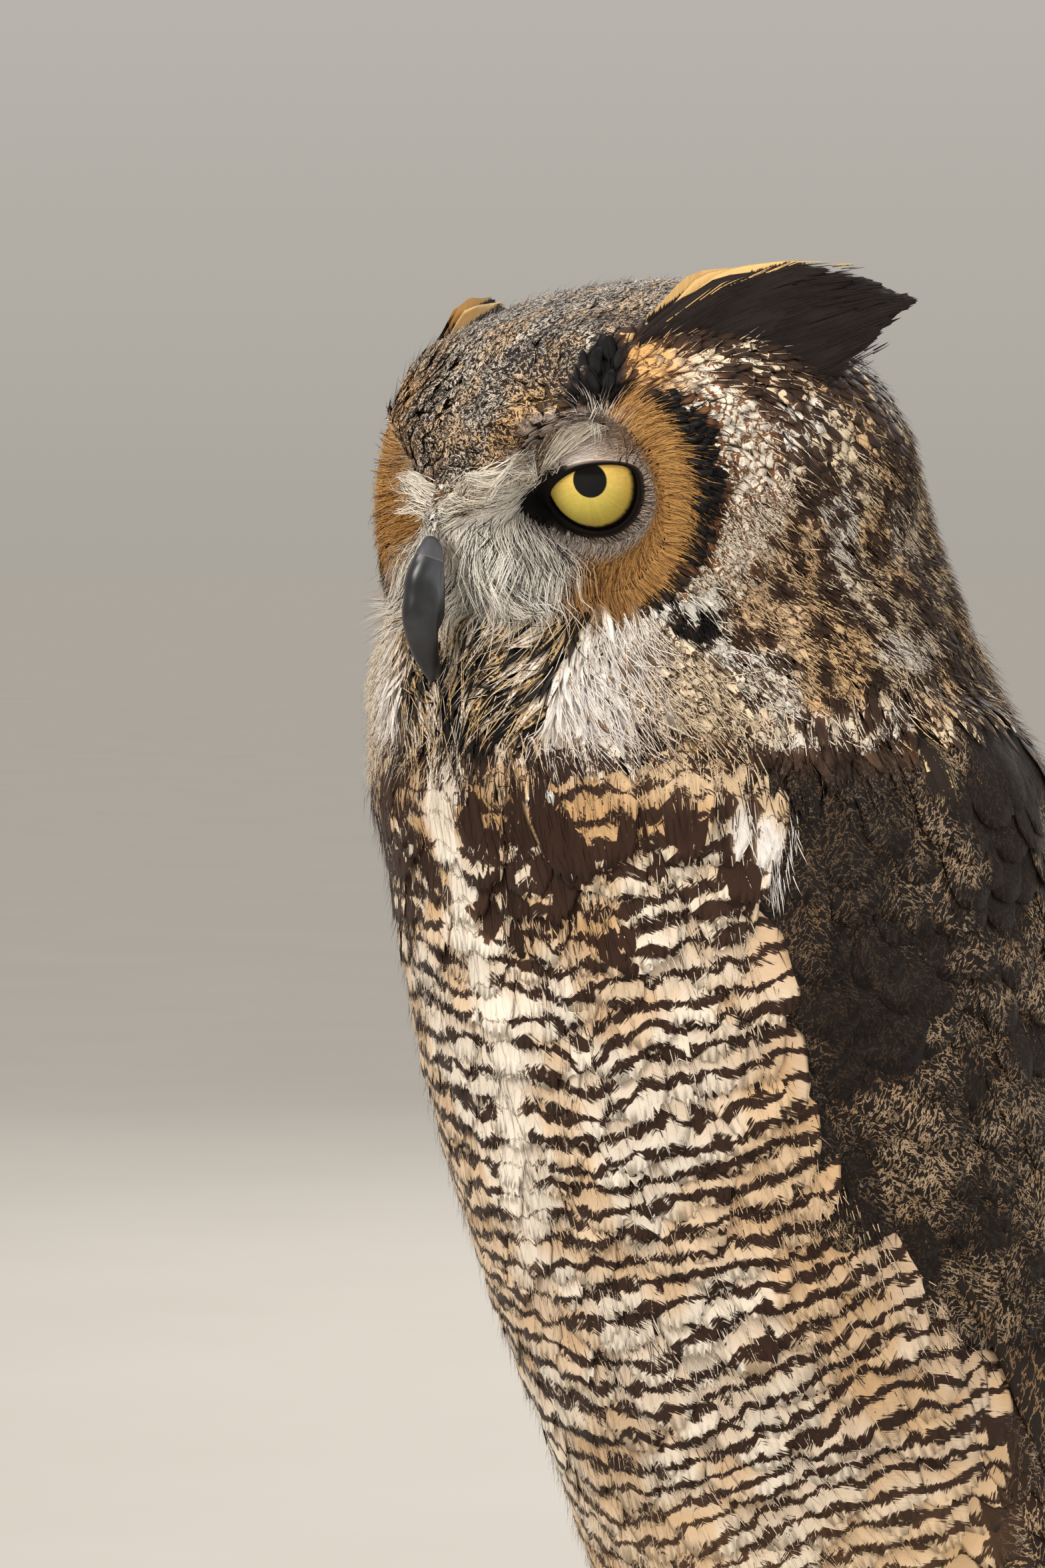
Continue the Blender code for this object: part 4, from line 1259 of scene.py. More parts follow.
def horn():
    """Slate-black keratin, paler and scuffed in places, with the bill's duller skin above a low ridge."""
    paint = Paint("horn", Specular_IOR_Level=0.5, Coat_Weight=0.12, Coat_Roughness=0.25)
    place = paint.place()
    local = paint.vector("SUBTRACT", place, tuple(HEAD_AT * MM))
    lean = HEAD_AXES @ np.array((0, math.sin(CERE_LEAN), math.cos(CERE_LEAN)))
    height = paint.vector("DOT_PRODUCT", local, tuple(lean), output="Value") * (1 / MM) - CERE_LINE
    cere = height.between(-0.25, 0.25)
    cloud = paint.noise(place, 120.0, 3.0)
    grain = paint.noise(paint.scaled(place, (1, 1, 0.16)), 1600.0, 3.0, 0.6)
    scuff = paint.noise(paint.scaled(place, (2.4, 1, 0.5)), 900.0, 4.0, 0.7).between(0.6, 0.75)
    colour = paint.mix(srgb(19, 19, 21), srgb(54, 54, 58), cloud.between(0.42, 0.74) * 0.6 + scuff * 0.22)
    dull = paint.mix(srgb(32, 31, 34), srgb(62, 60, 65), cloud.between(0.35, 0.65))
    colour = paint.mix(colour, dull, cere * 0.8)
    colour = paint.mix(colour, srgb(112, 108, 104), (0.24 - height.size()).between(0.0, 0.2) * 0.6)
    roughness = 0.24 + cloud * 0.2 + scuff * 0.2 + cere * 0.2
    return paint.finish(colour, roughness, cere + grain * 0.12, 0.6, 0.0003)


def floor_finish():
    paint = Paint("floor", Roughness=0.7, Specular_IOR_Level=0.25)
    cloud = paint.noise(paint.place(), 6.0, 3.0)
    return paint.finish(paint.mix(srgb(190, 183, 174), srgb(197, 191, 182), cloud))


PLUMAGE, HIDE, HORN = plumage(), hide(), horn()


# Where each kind of feather grows ---------------------------------------------------------------
SKIN_HEAD = to_head(SKIN.points)
SKIN_X, SKIN_Y, SKIN_Z = np.abs(SKIN_HEAD[:, 0]), SKIN_HEAD[:, 1], SKIN_HEAD[:, 2]
EYE_AWAY, EYE_ANGLE, EYE_DEPTH = round_eye(SKIN_HEAD)
LID_LINE_AWAY = lid_edges(EYE_ANGLE)
PAST_LIDS = EYE_AWAY - LID_LINE_AWAY - lid_margin(EYE_ANGLE)
OF_HEAD, OF_NECK, OF_TRUNK, OF_WING, OF_LEG, OF_FOOT = (
    SKIN_PARTS == part for part in ("head", "neck", "trunk", "wing", "leg", "foot")
)
DISC = OF_HEAD & (EYE_AWAY < disc_edge(EYE_ANGLE) + 0.5) & (EYE_DEPTH < -1.5) & (SKIN_Z < 40)
LORES = OF_HEAD & (SKIN_X < 26) & (SKIN_Y < -34) & (SKIN_Z > -12) & (SKIN_Z < 16)
OVER_BROW = SKIN_Z - brow_line(SKIN_X)
FACE_AREA = (DISC | LORES) & (PAST_LIDS > 0)
FACE = FACE_AREA & (PAST_LIDS > 0.8)
FACE &= (EYE_AWAY > 17) | (np.abs(EYE_ANGLE - UPPER_LID_AT) > 50)
ROUND_LIDS = FACE_AREA & ~FACE & (OVER_BROW < 1.5)
FACE &= (OVER_BROW < 1.5) | (SKIN_X > 31)
IN_SOCKET = OF_HEAD & (PAST_LIDS < 0) & (EYE_DEPTH < 2)
CHIN = (OF_HEAD | OF_NECK) & (SKIN_Z < -10) & (SKIN_Z > -40) & (SKIN_X < chin_half(SKIN_Z)) & (SKIN_Y < -36)
BIB = (OF_HEAD | OF_NECK) & (SKIN_Z < -20) & (SKIN_Y < -34) & (SKIN.points[:, 2] > 309) & ~CHIN
UPPER_BREAST = OF_NECK & ~BIB & ~CHIN & (SKIN.points[:, 1] < -108) & (SKIN.points[:, 2] < 311)
RUFF = OF_HEAD & (SKIN_Z < -9) & (SKIN_Z > -30) & (SKIN_X > 17) & (SKIN_X < 45) & (SKIN_Y < -26)
RUFF &= ~FACE & ~CHIN
PLAIN_HEAD = OF_HEAD & ~FACE & ~IN_SOCKET & ~ROUND_LIDS


def slim_bill(points, upper):
    """The bill as it shows: its ridge carried up towards the brow, and its hidden back drawn in."""
    head = to_head(points)
    if upper:
        levels = np.linspace(head[:, 2].min(), head[:, 2].max(), 16)
        front = np.array([head[np.abs(head[:, 2] - level) < 2.0, 1].min() for level in levels])
        behind = head[:, 1] - np.interp(head[:, 2], levels, front)
        behind = np.where(behind > BILL_DEPTH, BILL_DEPTH + (behind - BILL_DEPTH) * 0.22, behind)
        head[:, 2] += np.clip(head[:, 2] + 4, 0, 20) * 0.3
        head[:, 1] = np.interp(head[:, 2], *np.transpose(BILL_RIDGE)) + behind
        head[:, 0] *= np.interp(head[:, 2], (-22, -8, 8), (0.75, 0.8, 0.72))
    else:
        head[:, 1] = -46 + (head[:, 1] + 46) * 0.7
    return from_head(head)


def bill_half(name):
    mesh = frame["nodes"][name].data
    return Surface(slim_bill(points_of(mesh), name == "bill_upper"), triangles_of(mesh))


BILL = [bill_half(name) for name in ("bill_upper", "bill_lower")]


def clear_of_bill(points):
    """Which points are outside both halves of the bill."""
    clear = np.ones(len(points), bool)
    for half in BILL:
        places, normals, _ = half.nearest(points)
        apart = points - places
        clear &= (np.sum(apart * normals, axis=1) > 0.2) | (np.linalg.norm(apart, axis=1) > 4)
    return clear


OPEN_SKIN = SKIN.triangles[clear_of_bill(SKIN.points[SKIN.triangles].mean(axis=1))]
BILL_AND_SKIN = Surface(
    np.vstack([SKIN.points, BILL[0].points, BILL[1].points]),
    np.vstack([
        OPEN_SKIN, BILL[0].triangles + len(SKIN.points),
        BILL[1].triangles + len(SKIN.points) + len(BILL[0].points),
    ]),
)


def grown_roots(zone, spacing, seed):
    roots = scatter(SKIN, zone, spacing, seed)
    return roots[clear_of_bill(roots)]


def vane_layer(coat, zone, flow, look_of, unwrap, spacing, length, half, depth, seed, steps,
               columns, stray, low=0.4, spread=0.12, whole=False, **shape):
    """Vanes grown over a zone of the skin, their sizes a little uneven."""
    roots = grown_roots(zone, spacing, seed)
    rng = np.random.default_rng(seed)
    size = 1 + spread * rng.normal(0, 1, len(roots)).clip(-1.6, 1.6)
    lines, normals = lay(
        SKIN, roots, flow, length * size, steps, low, depth * (0.85 + 0.3 * rng.random(len(roots))),
        stray, seed,
    )
    halves = half * size
    curve = side_curve(SKIN, lines, normals, halves)
    looks = look_of(lines[:, -2]) if whole else look_of
    add_vanes(coat, lines, normals, halves, looks, unwrap(roots), columns, curve, seed, **shape)


def barb_layer(coat, zone, flow, look_of, unwrap, spacing, length, half, low, high, seed, rings=3,
               stray=0.3, dark=0.0, surface=SKIN, along=False):
    """Hairs grown over a zone; a share of them, dark, show the dark shaft down their middle."""
    roots = grown_roots(zone, spacing, seed)
    rng = np.random.default_rng(seed)
    size = 1 + BARB_SPREAD * rng.normal(0, 1, len(roots)).clip(-1.6, 1.8)
    lines, normals = lay(
        surface, roots, flow, length * size, rings, low, high * (0.7 + 0.6 * rng.random(len(roots))),
        stray, seed, BARB_RISE,
    )
    shafts = np.where(rng.random(len(roots)) < dark, 0.0, PLAIN_SHAFT)
    looks = look_of if along else look_of(roots)
    add_barbs(coat, lines, normals, half * size, looks, unwrap(roots), seed, shafts)


def make_face():
    """The facial disc and lores: fine hairs that stream out over a short nap, and the lids' own nap."""
    coat = Coat()
    barb_layer(coat, FACE, head_flow, head_looks, unwrap_head, 0.9, 6.0, 0.15, 0.2, 1.0, 11, rings=2)
    barb_layer(
        coat, FACE, head_flow, head_looks, unwrap_head, 0.85, 8.0, 0.08, 0.5, 1.8, 12, rings=4, stray=0.16,
    )
    barb_layer(
        coat, FACE, head_flow, head_looks, unwrap_head, 1.9, 6.0, 0.09, 1.2, 2.4, 16, rings=3, stray=0.2,
        dark=1.0,
    )
    coat.finish("coat_face", "plumage_head", PLUMAGE)
    coat = Coat()
    lids = OF_HEAD & (PAST_LIDS > 0) & (EYE_AWAY < LID_LINE_AWAY + 7.5)
    upper = np.abs(EYE_ANGLE - UPPER_LID_AT) < 56
    lids |= OF_HEAD & (EYE_AWAY < 18) & upper
    lids &= (EYE_DEPTH < 2) & (EYE_AWAY > LID_LINE_AWAY + np.where(upper, 2.3, 1.0))
    barb_layer(
        coat, lids, lid_flow, head_looks, unwrap_head, 0.62, 3.0, 0.15, 0.1, 0.5, 13, rings=2, stray=0.14,
    )
    coat.finish("coat_lids", "plumage_head", PLUMAGE)


def lid_flow(points):
    """Out from the eye, and along the upper lid towards its outer corner."""
    head = to_head(points)
    _, angle, _ = round_eye(head)
    side = sides_of(head)
    along = ways(len(head), side, 0.55, 0.1) @ HEAD_AXES.T
    share = bump(angle, UPPER_LID_AT, 40)[:, None]
    return unit(head_flow(points) * (1 - share) + unit(along) * share)


def bristle_flow(points):
    head = to_head(points)
    ruffled = np.where(head[:, 0] < -6, 1.0, 0.0)[:, None] * unit(np.array((-0.9, -0.3, -0.35)))
    return unit(lores_way(head) + 1.4 * ruffled) @ HEAD_AXES.T


def brow_flow(points):
    head = to_head(points)
    side = sides_of(head)
    return ways(len(head), 0.86 * side, 0.25, 0.1 + 0.016 * np.abs(head[:, 0])) @ HEAD_AXES.T


def make_bristles():
    """Pale bristles with dark shafts over the base of the bill, and the brow's cream fringe."""
    coat = Coat()
    beside = OF_HEAD & (SKIN_X > 2.5) & (SKIN_X < 15) & (SKIN_Y < -42) & (SKIN_Z > -10) & (SKIN_Z < 11)
    beside &= ~IN_SOCKET
    puffed = OF_HEAD & (SKIN_X > 7) & (SKIN_X < 27) & (SKIN_Y < -36) & (SKIN_Z > -8) & (SKIN_Z < 11)
    puffed &= ~IN_SOCKET
    for zone, spacing, length, half, low, high, seed, dark in (
        (beside, 0.9, 9, 0.17, 0.3, 0.9, 14, 0.0), (beside, 0.9, 11, 0.085, 0.5, 1.6, 15, 0.25),
        (puffed, 1.0, 15, 0.1, 0.8, 9.5, 17, 0.2),
    ):
        barb_layer(
            coat, zone, bristle_flow, head_looks, unwrap_head, spacing, length, half, low, high, seed,
            rings=5, stray=0.15, dark=dark, surface=BILL_AND_SKIN,
        )
    fringe = OF_HEAD & (OVER_BROW > -3) & (OVER_BROW < 2.2) & (SKIN_Y < -32) & (SKIN_X < 29)
    for spacing, length, half, low, high, seed in (
        (0.8, 8, 0.18, 0.8, 3.5, 18), (0.65, 10, 0.09, 1.2, 7.0, 19),
    ):
        barb_layer(
            coat, fringe, brow_flow, brow_looks, unwrap_head, spacing, length, half, low, high, seed,
            rings=4, stray=0.16,
        )
    coat.finish("coat_bristles", "plumage_head", PLUMAGE)


def make_rim():
    """The black rim behind the disc, which stands a little proud."""
    coat = Coat()
    edge = disc_edge(EYE_ANGLE)
    rim = OF_HEAD & (EYE_DEPTH < -1) & (EYE_ANGLE > -70) & (EYE_ANGLE < 46)
    rim &= (EYE_AWAY > edge - 1.5) & (EYE_AWAY < edge + rim_width(EYE_ANGLE) - 1.5)
    vane_layer(
        coat, rim, head_flow, head_looks, unwrap_head, 1.3, 4.0, 1.1, 2.2, 21, steps=3, columns=4,
        stray=0.15, low=0.6, fray=0.5, split=0.4, whole=True,
    )
    barb_layer(coat, rim, head_flow, head_looks, unwrap_head, 1.0, 4.0, 0.14, 1.0, 2.6, 22, rings=2)
    coat.finish("coat_rim", "plumage_head", PLUMAGE)


def make_crown():
    coat = Coat()
    zone = PLAIN_HEAD & (SKIN_Z > 9) & ((OVER_BROW > 1.2) | (SKIN_Y > -32) | (SKIN_X > 30))
    vane_layer(
        coat, zone, head_flow, head_looks, unwrap_head, 2.0, 6.5, 1.8, 1.9, 31, steps=3, columns=5,
        stray=0.16, fray=0.4, split=0.4, low=0.7, camber=0.08,
    )
    barb_layer(coat, zone, head_flow, head_looks, unwrap_head, 1.9, 6.0, 0.13, 1.0, 3.0, 32, rings=2)
    coat.finish("coat_crown", "plumage_head", PLUMAGE)


def make_head_sides():
    coat = Coat()
    zone = PLAIN_HEAD & (SKIN_Z <= 9.5) & ~CHIN & ~BIB
    vane_layer(
        coat, zone, head_flow, head_looks, unwrap_head, 2.2, 8.0, 1.5, 2.2, 41, steps=4, columns=4,
        stray=0.25, fray=0.6, split=0.6, low=0.8, camber=0.1, taper=0.5,
    )
    coat.finish("coat_head_sides", "plumage_head", PLUMAGE)
    coat = Coat()
    barb_layer(
        coat, zone, head_flow, head_looks, unwrap_head, 0.85, 6.5, 0.15, 1.2, 3.2, 42, rings=3, stray=0.28,
        along=True,
    )
    coat.finish("coat_head_down", "plumage_head", PLUMAGE)


def make_chin():
    """Long narrow streaked feathers under the bill, and the white bib of down below them."""
    coat = Coat()
    vane_layer(
        coat, CHIN, head_flow, head_looks, unwrap_head, 2.1, 11.0, 1.3, 3.6, 51, steps=5, columns=6,
        stray=0.25, taper=0.9, blunt=0.0, fray=1.0, widest=0.3, split=0.8, camber=0.1, whole=True,
    )
    vane_layer(
        coat, RUFF | BIB, head_flow, neck_looks, unwrap_body, 2.5, 10.0, 1.6, 3.6, 52, steps=4,
        columns=5, stray=0.25, fray=1.0, split=1.0, taper=0.6, camber=0.1,
    )
    barb_layer(
        coat, RUFF | BIB, head_flow, neck_looks, unwrap_body, 0.95, 9.0, 0.12, 2.0, 5.0, 53, rings=4,
    )
    barb_layer(coat, CHIN, head_flow, head_looks, unwrap_body, 1.5, 8.0, 0.12, 2.0, 4.4, 54, rings=4)
    coat.finish("coat_chin", "plumage_breast", PLUMAGE)


def make_neck():
    coat = Coat()
    zone = OF_NECK & ~BIB & ~UPPER_BREAST
    vane_layer(
        coat, zone, down_flow, neck_looks, unwrap_body, 2.8, 12.0, 2.1, 3.6, 61, steps=5, columns=5,
        stray=0.25, fray=0.7, split=0.7, low=1.8, camber=0.12, taper=0.5,
    )
    barb_layer(coat, zone, down_flow, neck_looks, unwrap_body, 1.25, 9.0, 0.14, 2.4, 5.0, 62, along=True)
    coat.finish("coat_neck", "plumage_breast", PLUMAGE)


FRONT = (OF_TRUNK & (SKIN.points[:, 1] < -50)) | UPPER_BREAST
BELLY_TOP = 195  # the height where the breast's feathers give way to the belly's longer ones


def make_breast():
    coat = Coat(breast_rows)
    breast = (OF_TRUNK & (SKIN.points[:, 2] > BELLY_TOP)) | UPPER_BREAST
    vane_layer(
        coat, breast, down_flow, body_looks, unwrap_body, 6.4, 26.0, 9.0, 5.0, 71, steps=7, columns=18,
        stray=0.1, fray=0.8, split=1.3, camber=0.3, spread=0.1, low=2.6,
    )
    coat.finish("coat_breast", "plumage_breast", PLUMAGE)
    coat = Coat(breast_rows)
    belly = OF_TRUNK & (SKIN.points[:, 2] <= BELLY_TOP + 1)
    vane_layer(
        coat, belly, down_flow, body_looks, unwrap_body, 7.2, 29.0, 10.5, 5.0, 73, steps=6, columns=16,
        stray=0.08, fray=0.7, split=1.2, camber=0.3, spread=0.1, low=2.6,
    )
    coat.finish("coat_belly", "plumage_breast", PLUMAGE)
    coat = Coat(breast_rows)
    barb_layer(
        coat, FRONT, down_flow, body_looks, unwrap_body, 1.7, 10.0, 0.12, 4.0, 5.6, 72, rings=3, stray=0.2,
        along=True,
    )
    coat.finish("coat_down", "plumage_breast", PLUMAGE)


def bend_looks(points):
    return mixed_looks(len(points), "bib", [])


def make_wings():
    for word, side in SIDES:
        coat = Coat()
        zone = OF_WING & (SKIN.points[:, 0] * side > 0)
        vane_layer(
            coat, zone & (SKIN.points[:, 2] > WING_HEM + HEM_ROOTS), wing_flow, wing_looks, unwrap_body,
            6.6, 24.0, 8.6, 3.8, 81, steps=6, columns=14, stray=0.1, fray=0.35, split=0.4, camber=0.35,
            spread=0.12, low=1.8,
        )
        barb_layer(
            coat, zone, wing_flow, wing_looks, unwrap_body, 3.0, 7.0, 0.12, 2.8, 4.4, 82, rings=2,
        )
        away = SKIN.points - WING_BEND * (side, 1, 1)
        bend = (np.abs(away[:, 0]) < 6) & (np.abs(away[:, 1]) < 3.5) & (np.abs(away[:, 2]) < 10)
        barb_layer(
            coat, bend, down_flow, bend_looks, unwrap_body, 0.7, 6.0, 0.11, 2.5, 4.6, 83, rings=4, stray=0.15,
        )
        coat.finish(f"coat_wing_{word}", "plumage_wing", PLUMAGE)


def make_legs():
    coat = Coat()
    vane_layer(
        coat, OF_LEG, leg_flow, leg_looks, unwrap_pair, 2.7, 8.5, 1.9, 2.8, 91, steps=4, columns=4,
        stray=0.22, fray=0.8, split=0.7, camber=0.1,
    )
    vane_layer(
        coat, OF_FOOT, foot_flow, foot_looks, unwrap_pair, 1.8, 4.6, 1.0, 1.25, 92, steps=3,
        columns=2, stray=0.25, fray=0.3, low=0.2, camber=0.1,
    )
    coat.finish("coat_legs", "plumage_leg", PLUMAGE)


# Ear tufts, flight feathers and tail -------------------------------------------------------------
# Along an ear tuft, in head coordinates: share, x, y, z, half width up and down, half thickness.
TUFT_ROWS = np.array((
    (0.0, 31, -31, 30, 6, 3),
    (0.15, 36, -22, 33, 13, 4.5),
    (0.4, 44, -3, 36, 17, 5.5),
    (0.65, 51, 14, 37.5, 16.5, 5),
    (0.85, 58, 29, 38.5, 10, 3.4),
    (1.0, 63, 40, 37.5, 2, 1.2),
))
RIGHT_TUFT_SHIFT = np.array((-7.0, -6.0, -6.0))


def tuft_outward(side):
    """The way that the flat of a tuft faces, in head coordinates."""
    return np.array((side, 0.25, 0.3)) / math.sqrt(1.1525)


def tuft_place(share, upward, outward, side):
    """A point of a tuft: along it, across it from its lower to its upper edge, and through it."""
    x, y, z, spread, thick = (np.interp(share, TUFT_ROWS[:, 0], TUFT_ROWS[:, k]) for k in range(1, 6))
    upright = np.array((-0.3 * side, 0.12, 0.94))
    middle = np.stack([side * x, y, z], axis=-1)
    if side < 0:
        middle = middle + RIGHT_TUFT_SHIFT * (0.4 + 0.6 * share)[..., None]
    return middle + upright * (spread * upward)[..., None] + tuft_outward(side) * (thick * outward)[..., None]


def tuft_looks(count, upward, outward):
    buff = np.maximum(ease(upward, 0.55, 0.85), ease(-outward, 0.1, 0.5) * 0.8)
    return mixed_looks(count, "tuft", [("tuft_edge", buff)])


TUFT_HAIRS = 900


def make_tufts():
    for word, side in SIDES:
        coat = Coat()
        rng = np.random.default_rng(100 + side)
        flat = tuft_outward(side)
        for outward, count in ((-0.62, 18), (0.0, 14), (0.62, 22)):
            upward = np.linspace(-0.86, 0.86, count) + rng.normal(0, 0.05, count)
            start = rng.uniform(0.0, 0.3, count) + 0.1 * np.abs(upward)
            end = 0.99 - 0.34 * np.abs(upward) ** 2.0 - rng.uniform(0, 0.12, count)
            share = runs(start, end, 9)
            out = np.full_like(share, outward) * (1 - 0.4 * share) + rng.normal(0, 0.1, count)[:, None]
            lines = from_head(tuft_place(share, upward[:, None] * np.ones_like(share), out, side))
            facing = (1 if outward >= 0 else -1) * (HEAD_AXES @ flat)
            normals = np.broadcast_to(facing, lines.shape)
            looks = tuft_looks(count, upward, np.full(count, outward))
            spots = unwrap_head(lines[:, 4])
            add_vanes(
                coat, lines, normals, rng.uniform(3.4, 4.8, count), looks, spots, columns=14, curve=0.02,
                camber=0.3, fray=0.8, split=1.1, taper=0.55, seed=int(200 + 10 * outward + side),
            )
        upward = rng.uniform(-0.97, 0.86, TUFT_HAIRS)
        outward = rng.choice((-0.8, 0.8), TUFT_HAIRS)
        start = rng.uniform(0.1, 0.8, TUFT_HAIRS)
        end = np.minimum(start + rng.uniform(0.08, 0.14, TUFT_HAIRS), 1.0 - 0.3 * np.abs(upward))
        end = np.maximum(end, start + 0.05)
        share = runs(start, end, 4)
        drift = upward[:, None] * (1 + 0.06 * np.linspace(0, 1, 5)[None, :])
        lines = from_head(tuft_place(share, drift.clip(-1, 1), outward[:, None] * np.ones_like(share), side))
        normals = np.broadcast_to(HEAD_AXES @ flat, lines.shape)
        looks = tuft_looks(TUFT_HAIRS, upward, outward)
        add_barbs(coat, lines, normals, 0.11, looks, unwrap_head(lines[:, 2]), seed=300 + side)
        coat.finish(f"ear_tuft_plumes_{word}", "plumage_head", PLUMAGE, (f"ear_tuft_{word}",))


# A folded wing: height, middle, half width, half depth, front and back edge in degrees, thickness.
WING_ROWS = np.array((
    (44, 188, 20, 8, 0, 50, 3),
    (56, 158, 28, 26, 0, 74, 5),
    (71, 134, 38, 40, 2, 78, 6),
    (91, 108, 50, 52, 4, 80, 7),
    (116, 86, 62, 62, 4, 82, 8),
    (146, 68, 70, 68, 0, 82, 9),
    (178, 56, 77, 72, -14, 82, 11),
    (206, 46, 82, 75, -30, 82, 12),
    (236, 36, 84, 77, -39, 80, 13),
))


def wing_row(height, column):
    return np.interp(height, WING_ROWS[:, 0], WING_ROWS[:, column])


def wing_place(height, across, inward, side):
    """A point of a folded wing, and its outward way: across runs from its front to its back edge."""
    middle, wide, deep, front, back = (wing_row(height, column) for column in range(1, 6))
    angle = np.radians(front + (back - front) * across)
    outward = unit(np.stack([np.cos(angle) / wide, np.sin(angle) / deep, np.zeros_like(angle)], axis=-1))
    place = np.stack([wide * np.cos(angle), middle + HEAD_AT[1] + deep * np.sin(angle), height], axis=-1)
    place = place - outward * inward[..., None]
    return place * (side, 1, 1), outward * (side, 1, 1)


FLIGHT_COUNT, FLIGHT_STEPS = 13, 16
FLIGHT_TOP = 196.0  # the height of their roots, under the wing's last small feathers


def make_flight_feathers():
    """Each wing's folded flight feathers, overlapping from its back edge to its front one."""
    for word, side in SIDES:
        coat = Coat()
        rng = np.random.default_rng(110)
        across = np.linspace(0.06, 0.94, FLIGHT_COUNT)
        tip = 47 + 74 * np.abs(across - 0.42) ** 1.25 + rng.uniform(-1.5, 1.5, FLIGHT_COUNT)
        share = np.linspace(0, 1, FLIGHT_STEPS + 1)[None, :]
        height = FLIGHT_TOP + (tip - FLIGHT_TOP)[:, None] * share
        inward = 0.9 + 0.42 * np.arange(FLIGHT_COUNT)[::-1][:, None] / 2 + 2.2 * (1 - share) ** 2
        thickness = wing_row(height, 6)
        inward = np.minimum(inward, 0.72 * thickness)
        spread = across[:, None] * np.ones_like(share)
        lines, normals = wing_place(height, spread, inward, side)
        looks = mixed_looks(FLIGHT_COUNT, "quill", [("wing_dark", np.linspace(0.5, 0.0, FLIGHT_COUNT))])
        add_vanes(
            coat, lines, normals, 9.5, looks, unwrap_body(lines[:, 8]), columns=14, curve=0.012,
            camber=0.8, fray=0.3, split=0.2, taper=0.4, base=0.6, seed=111,
        )
        inner_inward = np.minimum(inward + 1.8, thickness - 0.6)
        inner, _ = wing_place(height, spread, inner_inward, side)
        add_vanes(
            coat, inner, -normals, 9.0, looks, unwrap_body(inner[:, 8]), columns=8, curve=0.0,
            camber=0.4, fray=0.3, split=0.2, taper=0.4, base=0.6, seed=112,
        )
        coat.finish(f"flight_feathers_{word}", "plumage_wing", PLUMAGE, (f"primaries_{word}",))


TAIL_ROOT = np.array((0.0, HEAD_AT[1] + 92, 152.0))
TAIL_LEAN = math.radians(44.5)
TAIL_ALONG = np.array((0.0, math.sin(TAIL_LEAN), -math.cos(TAIL_LEAN)))
TAIL_ABOVE = np.array((0.0, math.cos(TAIL_LEAN), math.sin(TAIL_LEAN)))
TAIL_LENGTH = 202.0
TAIL_FEATHERS = 12
TAIL_CAMBER = 110  # a larger number makes a flatter tail


def tail_lines(offset, start, end, height, steps):
    """Lines down the tail: offset is from -1 to 1 across it, height is above its middle."""
    along = runs(start, end, steps)
    wide = offset[:, None] * (20 + 13 * along)
    camber = -(wide**2) / TAIL_CAMBER + height[:, None]
    lines = TAIL_ROOT + along[..., None] * TAIL_LENGTH * TAIL_ALONG
    lines = lines + wide[..., None] * (1, 0, 0) + camber[..., None] * TAIL_ABOVE
    normals = unit(TAIL_ABOVE + (2 * wide / TAIL_CAMBER)[..., None] * (1, 0, 0))
    return lines, normals


def make_tail():
    coat = Coat()
    rng = np.random.default_rng(120)
    order = np.arange(TAIL_FEATHERS) - (TAIL_FEATHERS - 1) / 2
    offset = order / order.max()
    for height, face, seed in ((1.6, 1, 121), (-1.4, -1, 122)):
        level = height - face * 0.24 * np.abs(order) + 0.05 * face
        lines, normals = tail_lines(
            offset, np.full(TAIL_FEATHERS, 0.08), 0.985 - 0.03 * np.abs(offset) ** 2, level, 18
        )
        looks = mixed_looks(TAIL_FEATHERS, "quill", [("flank", np.full(TAIL_FEATHERS, 0.3))])
        add_vanes(
            coat, lines, normals * face, 8.6, looks, unwrap_body(lines[:, 9]), columns=14, curve=0.004,
            camber=0.5, fray=0.4, split=0.25, taper=0.1, base=0.6, seed=seed,
        )
    for face, count, reach, seed in ((1, 26, 0.52, 123), (-1, 34, 0.5, 124)):
        offset = rng.uniform(-0.95, 0.95, count)
        start = rng.uniform(0.02, 0.22, count)
        end = start + rng.uniform(0.16, reach - 0.22, count)
        height = face * rng.uniform(2.4, 3.4, count)
        lines, normals = tail_lines(offset, start, end, height, 8)
        looks = mixed_looks(count, "back" if face > 0 else "flank", [])
        add_vanes(
            coat, lines, normals * face, 8.0, looks, unwrap_body(lines[:, 4]), columns=10, curve=0.01,
            camber=0.5, fray=0.8, split=0.6, seed=seed,
        )
    coat.finish("tail_feathers", "plumage_wing", PLUMAGE, ("tail",))


# Skin, eyes, bill and claws ----------------------------------------------------------------------
def dress_skin():
    """Gives the skin the markings of the coat that grows on it."""
    looks = {key: np.empty((len(SKIN.points), 3)) for key in ("ground", "mark", "plan", "style")}
    for zone, look_of in (
        (OF_HEAD, head_looks), (OF_NECK, neck_looks), (OF_TRUNK, body_looks), (OF_WING, wing_looks),
        (OF_LEG, leg_looks), (OF_FOOT, foot_looks),
    ):
        found = look_of(SKIN.points[zone])
        for key, value in found.items():
            looks[key][zone] = value
    for key, value in looks.items():
        set_vectors(SKIN_MESH, key, value)
    SKIN_MESH.materials.clear()
    SKIN_MESH.materials.append(HIDE)
    skin = add_object("skin", SKIN_MESH)
    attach(skin, "root")
    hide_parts(*flesh_nodes())


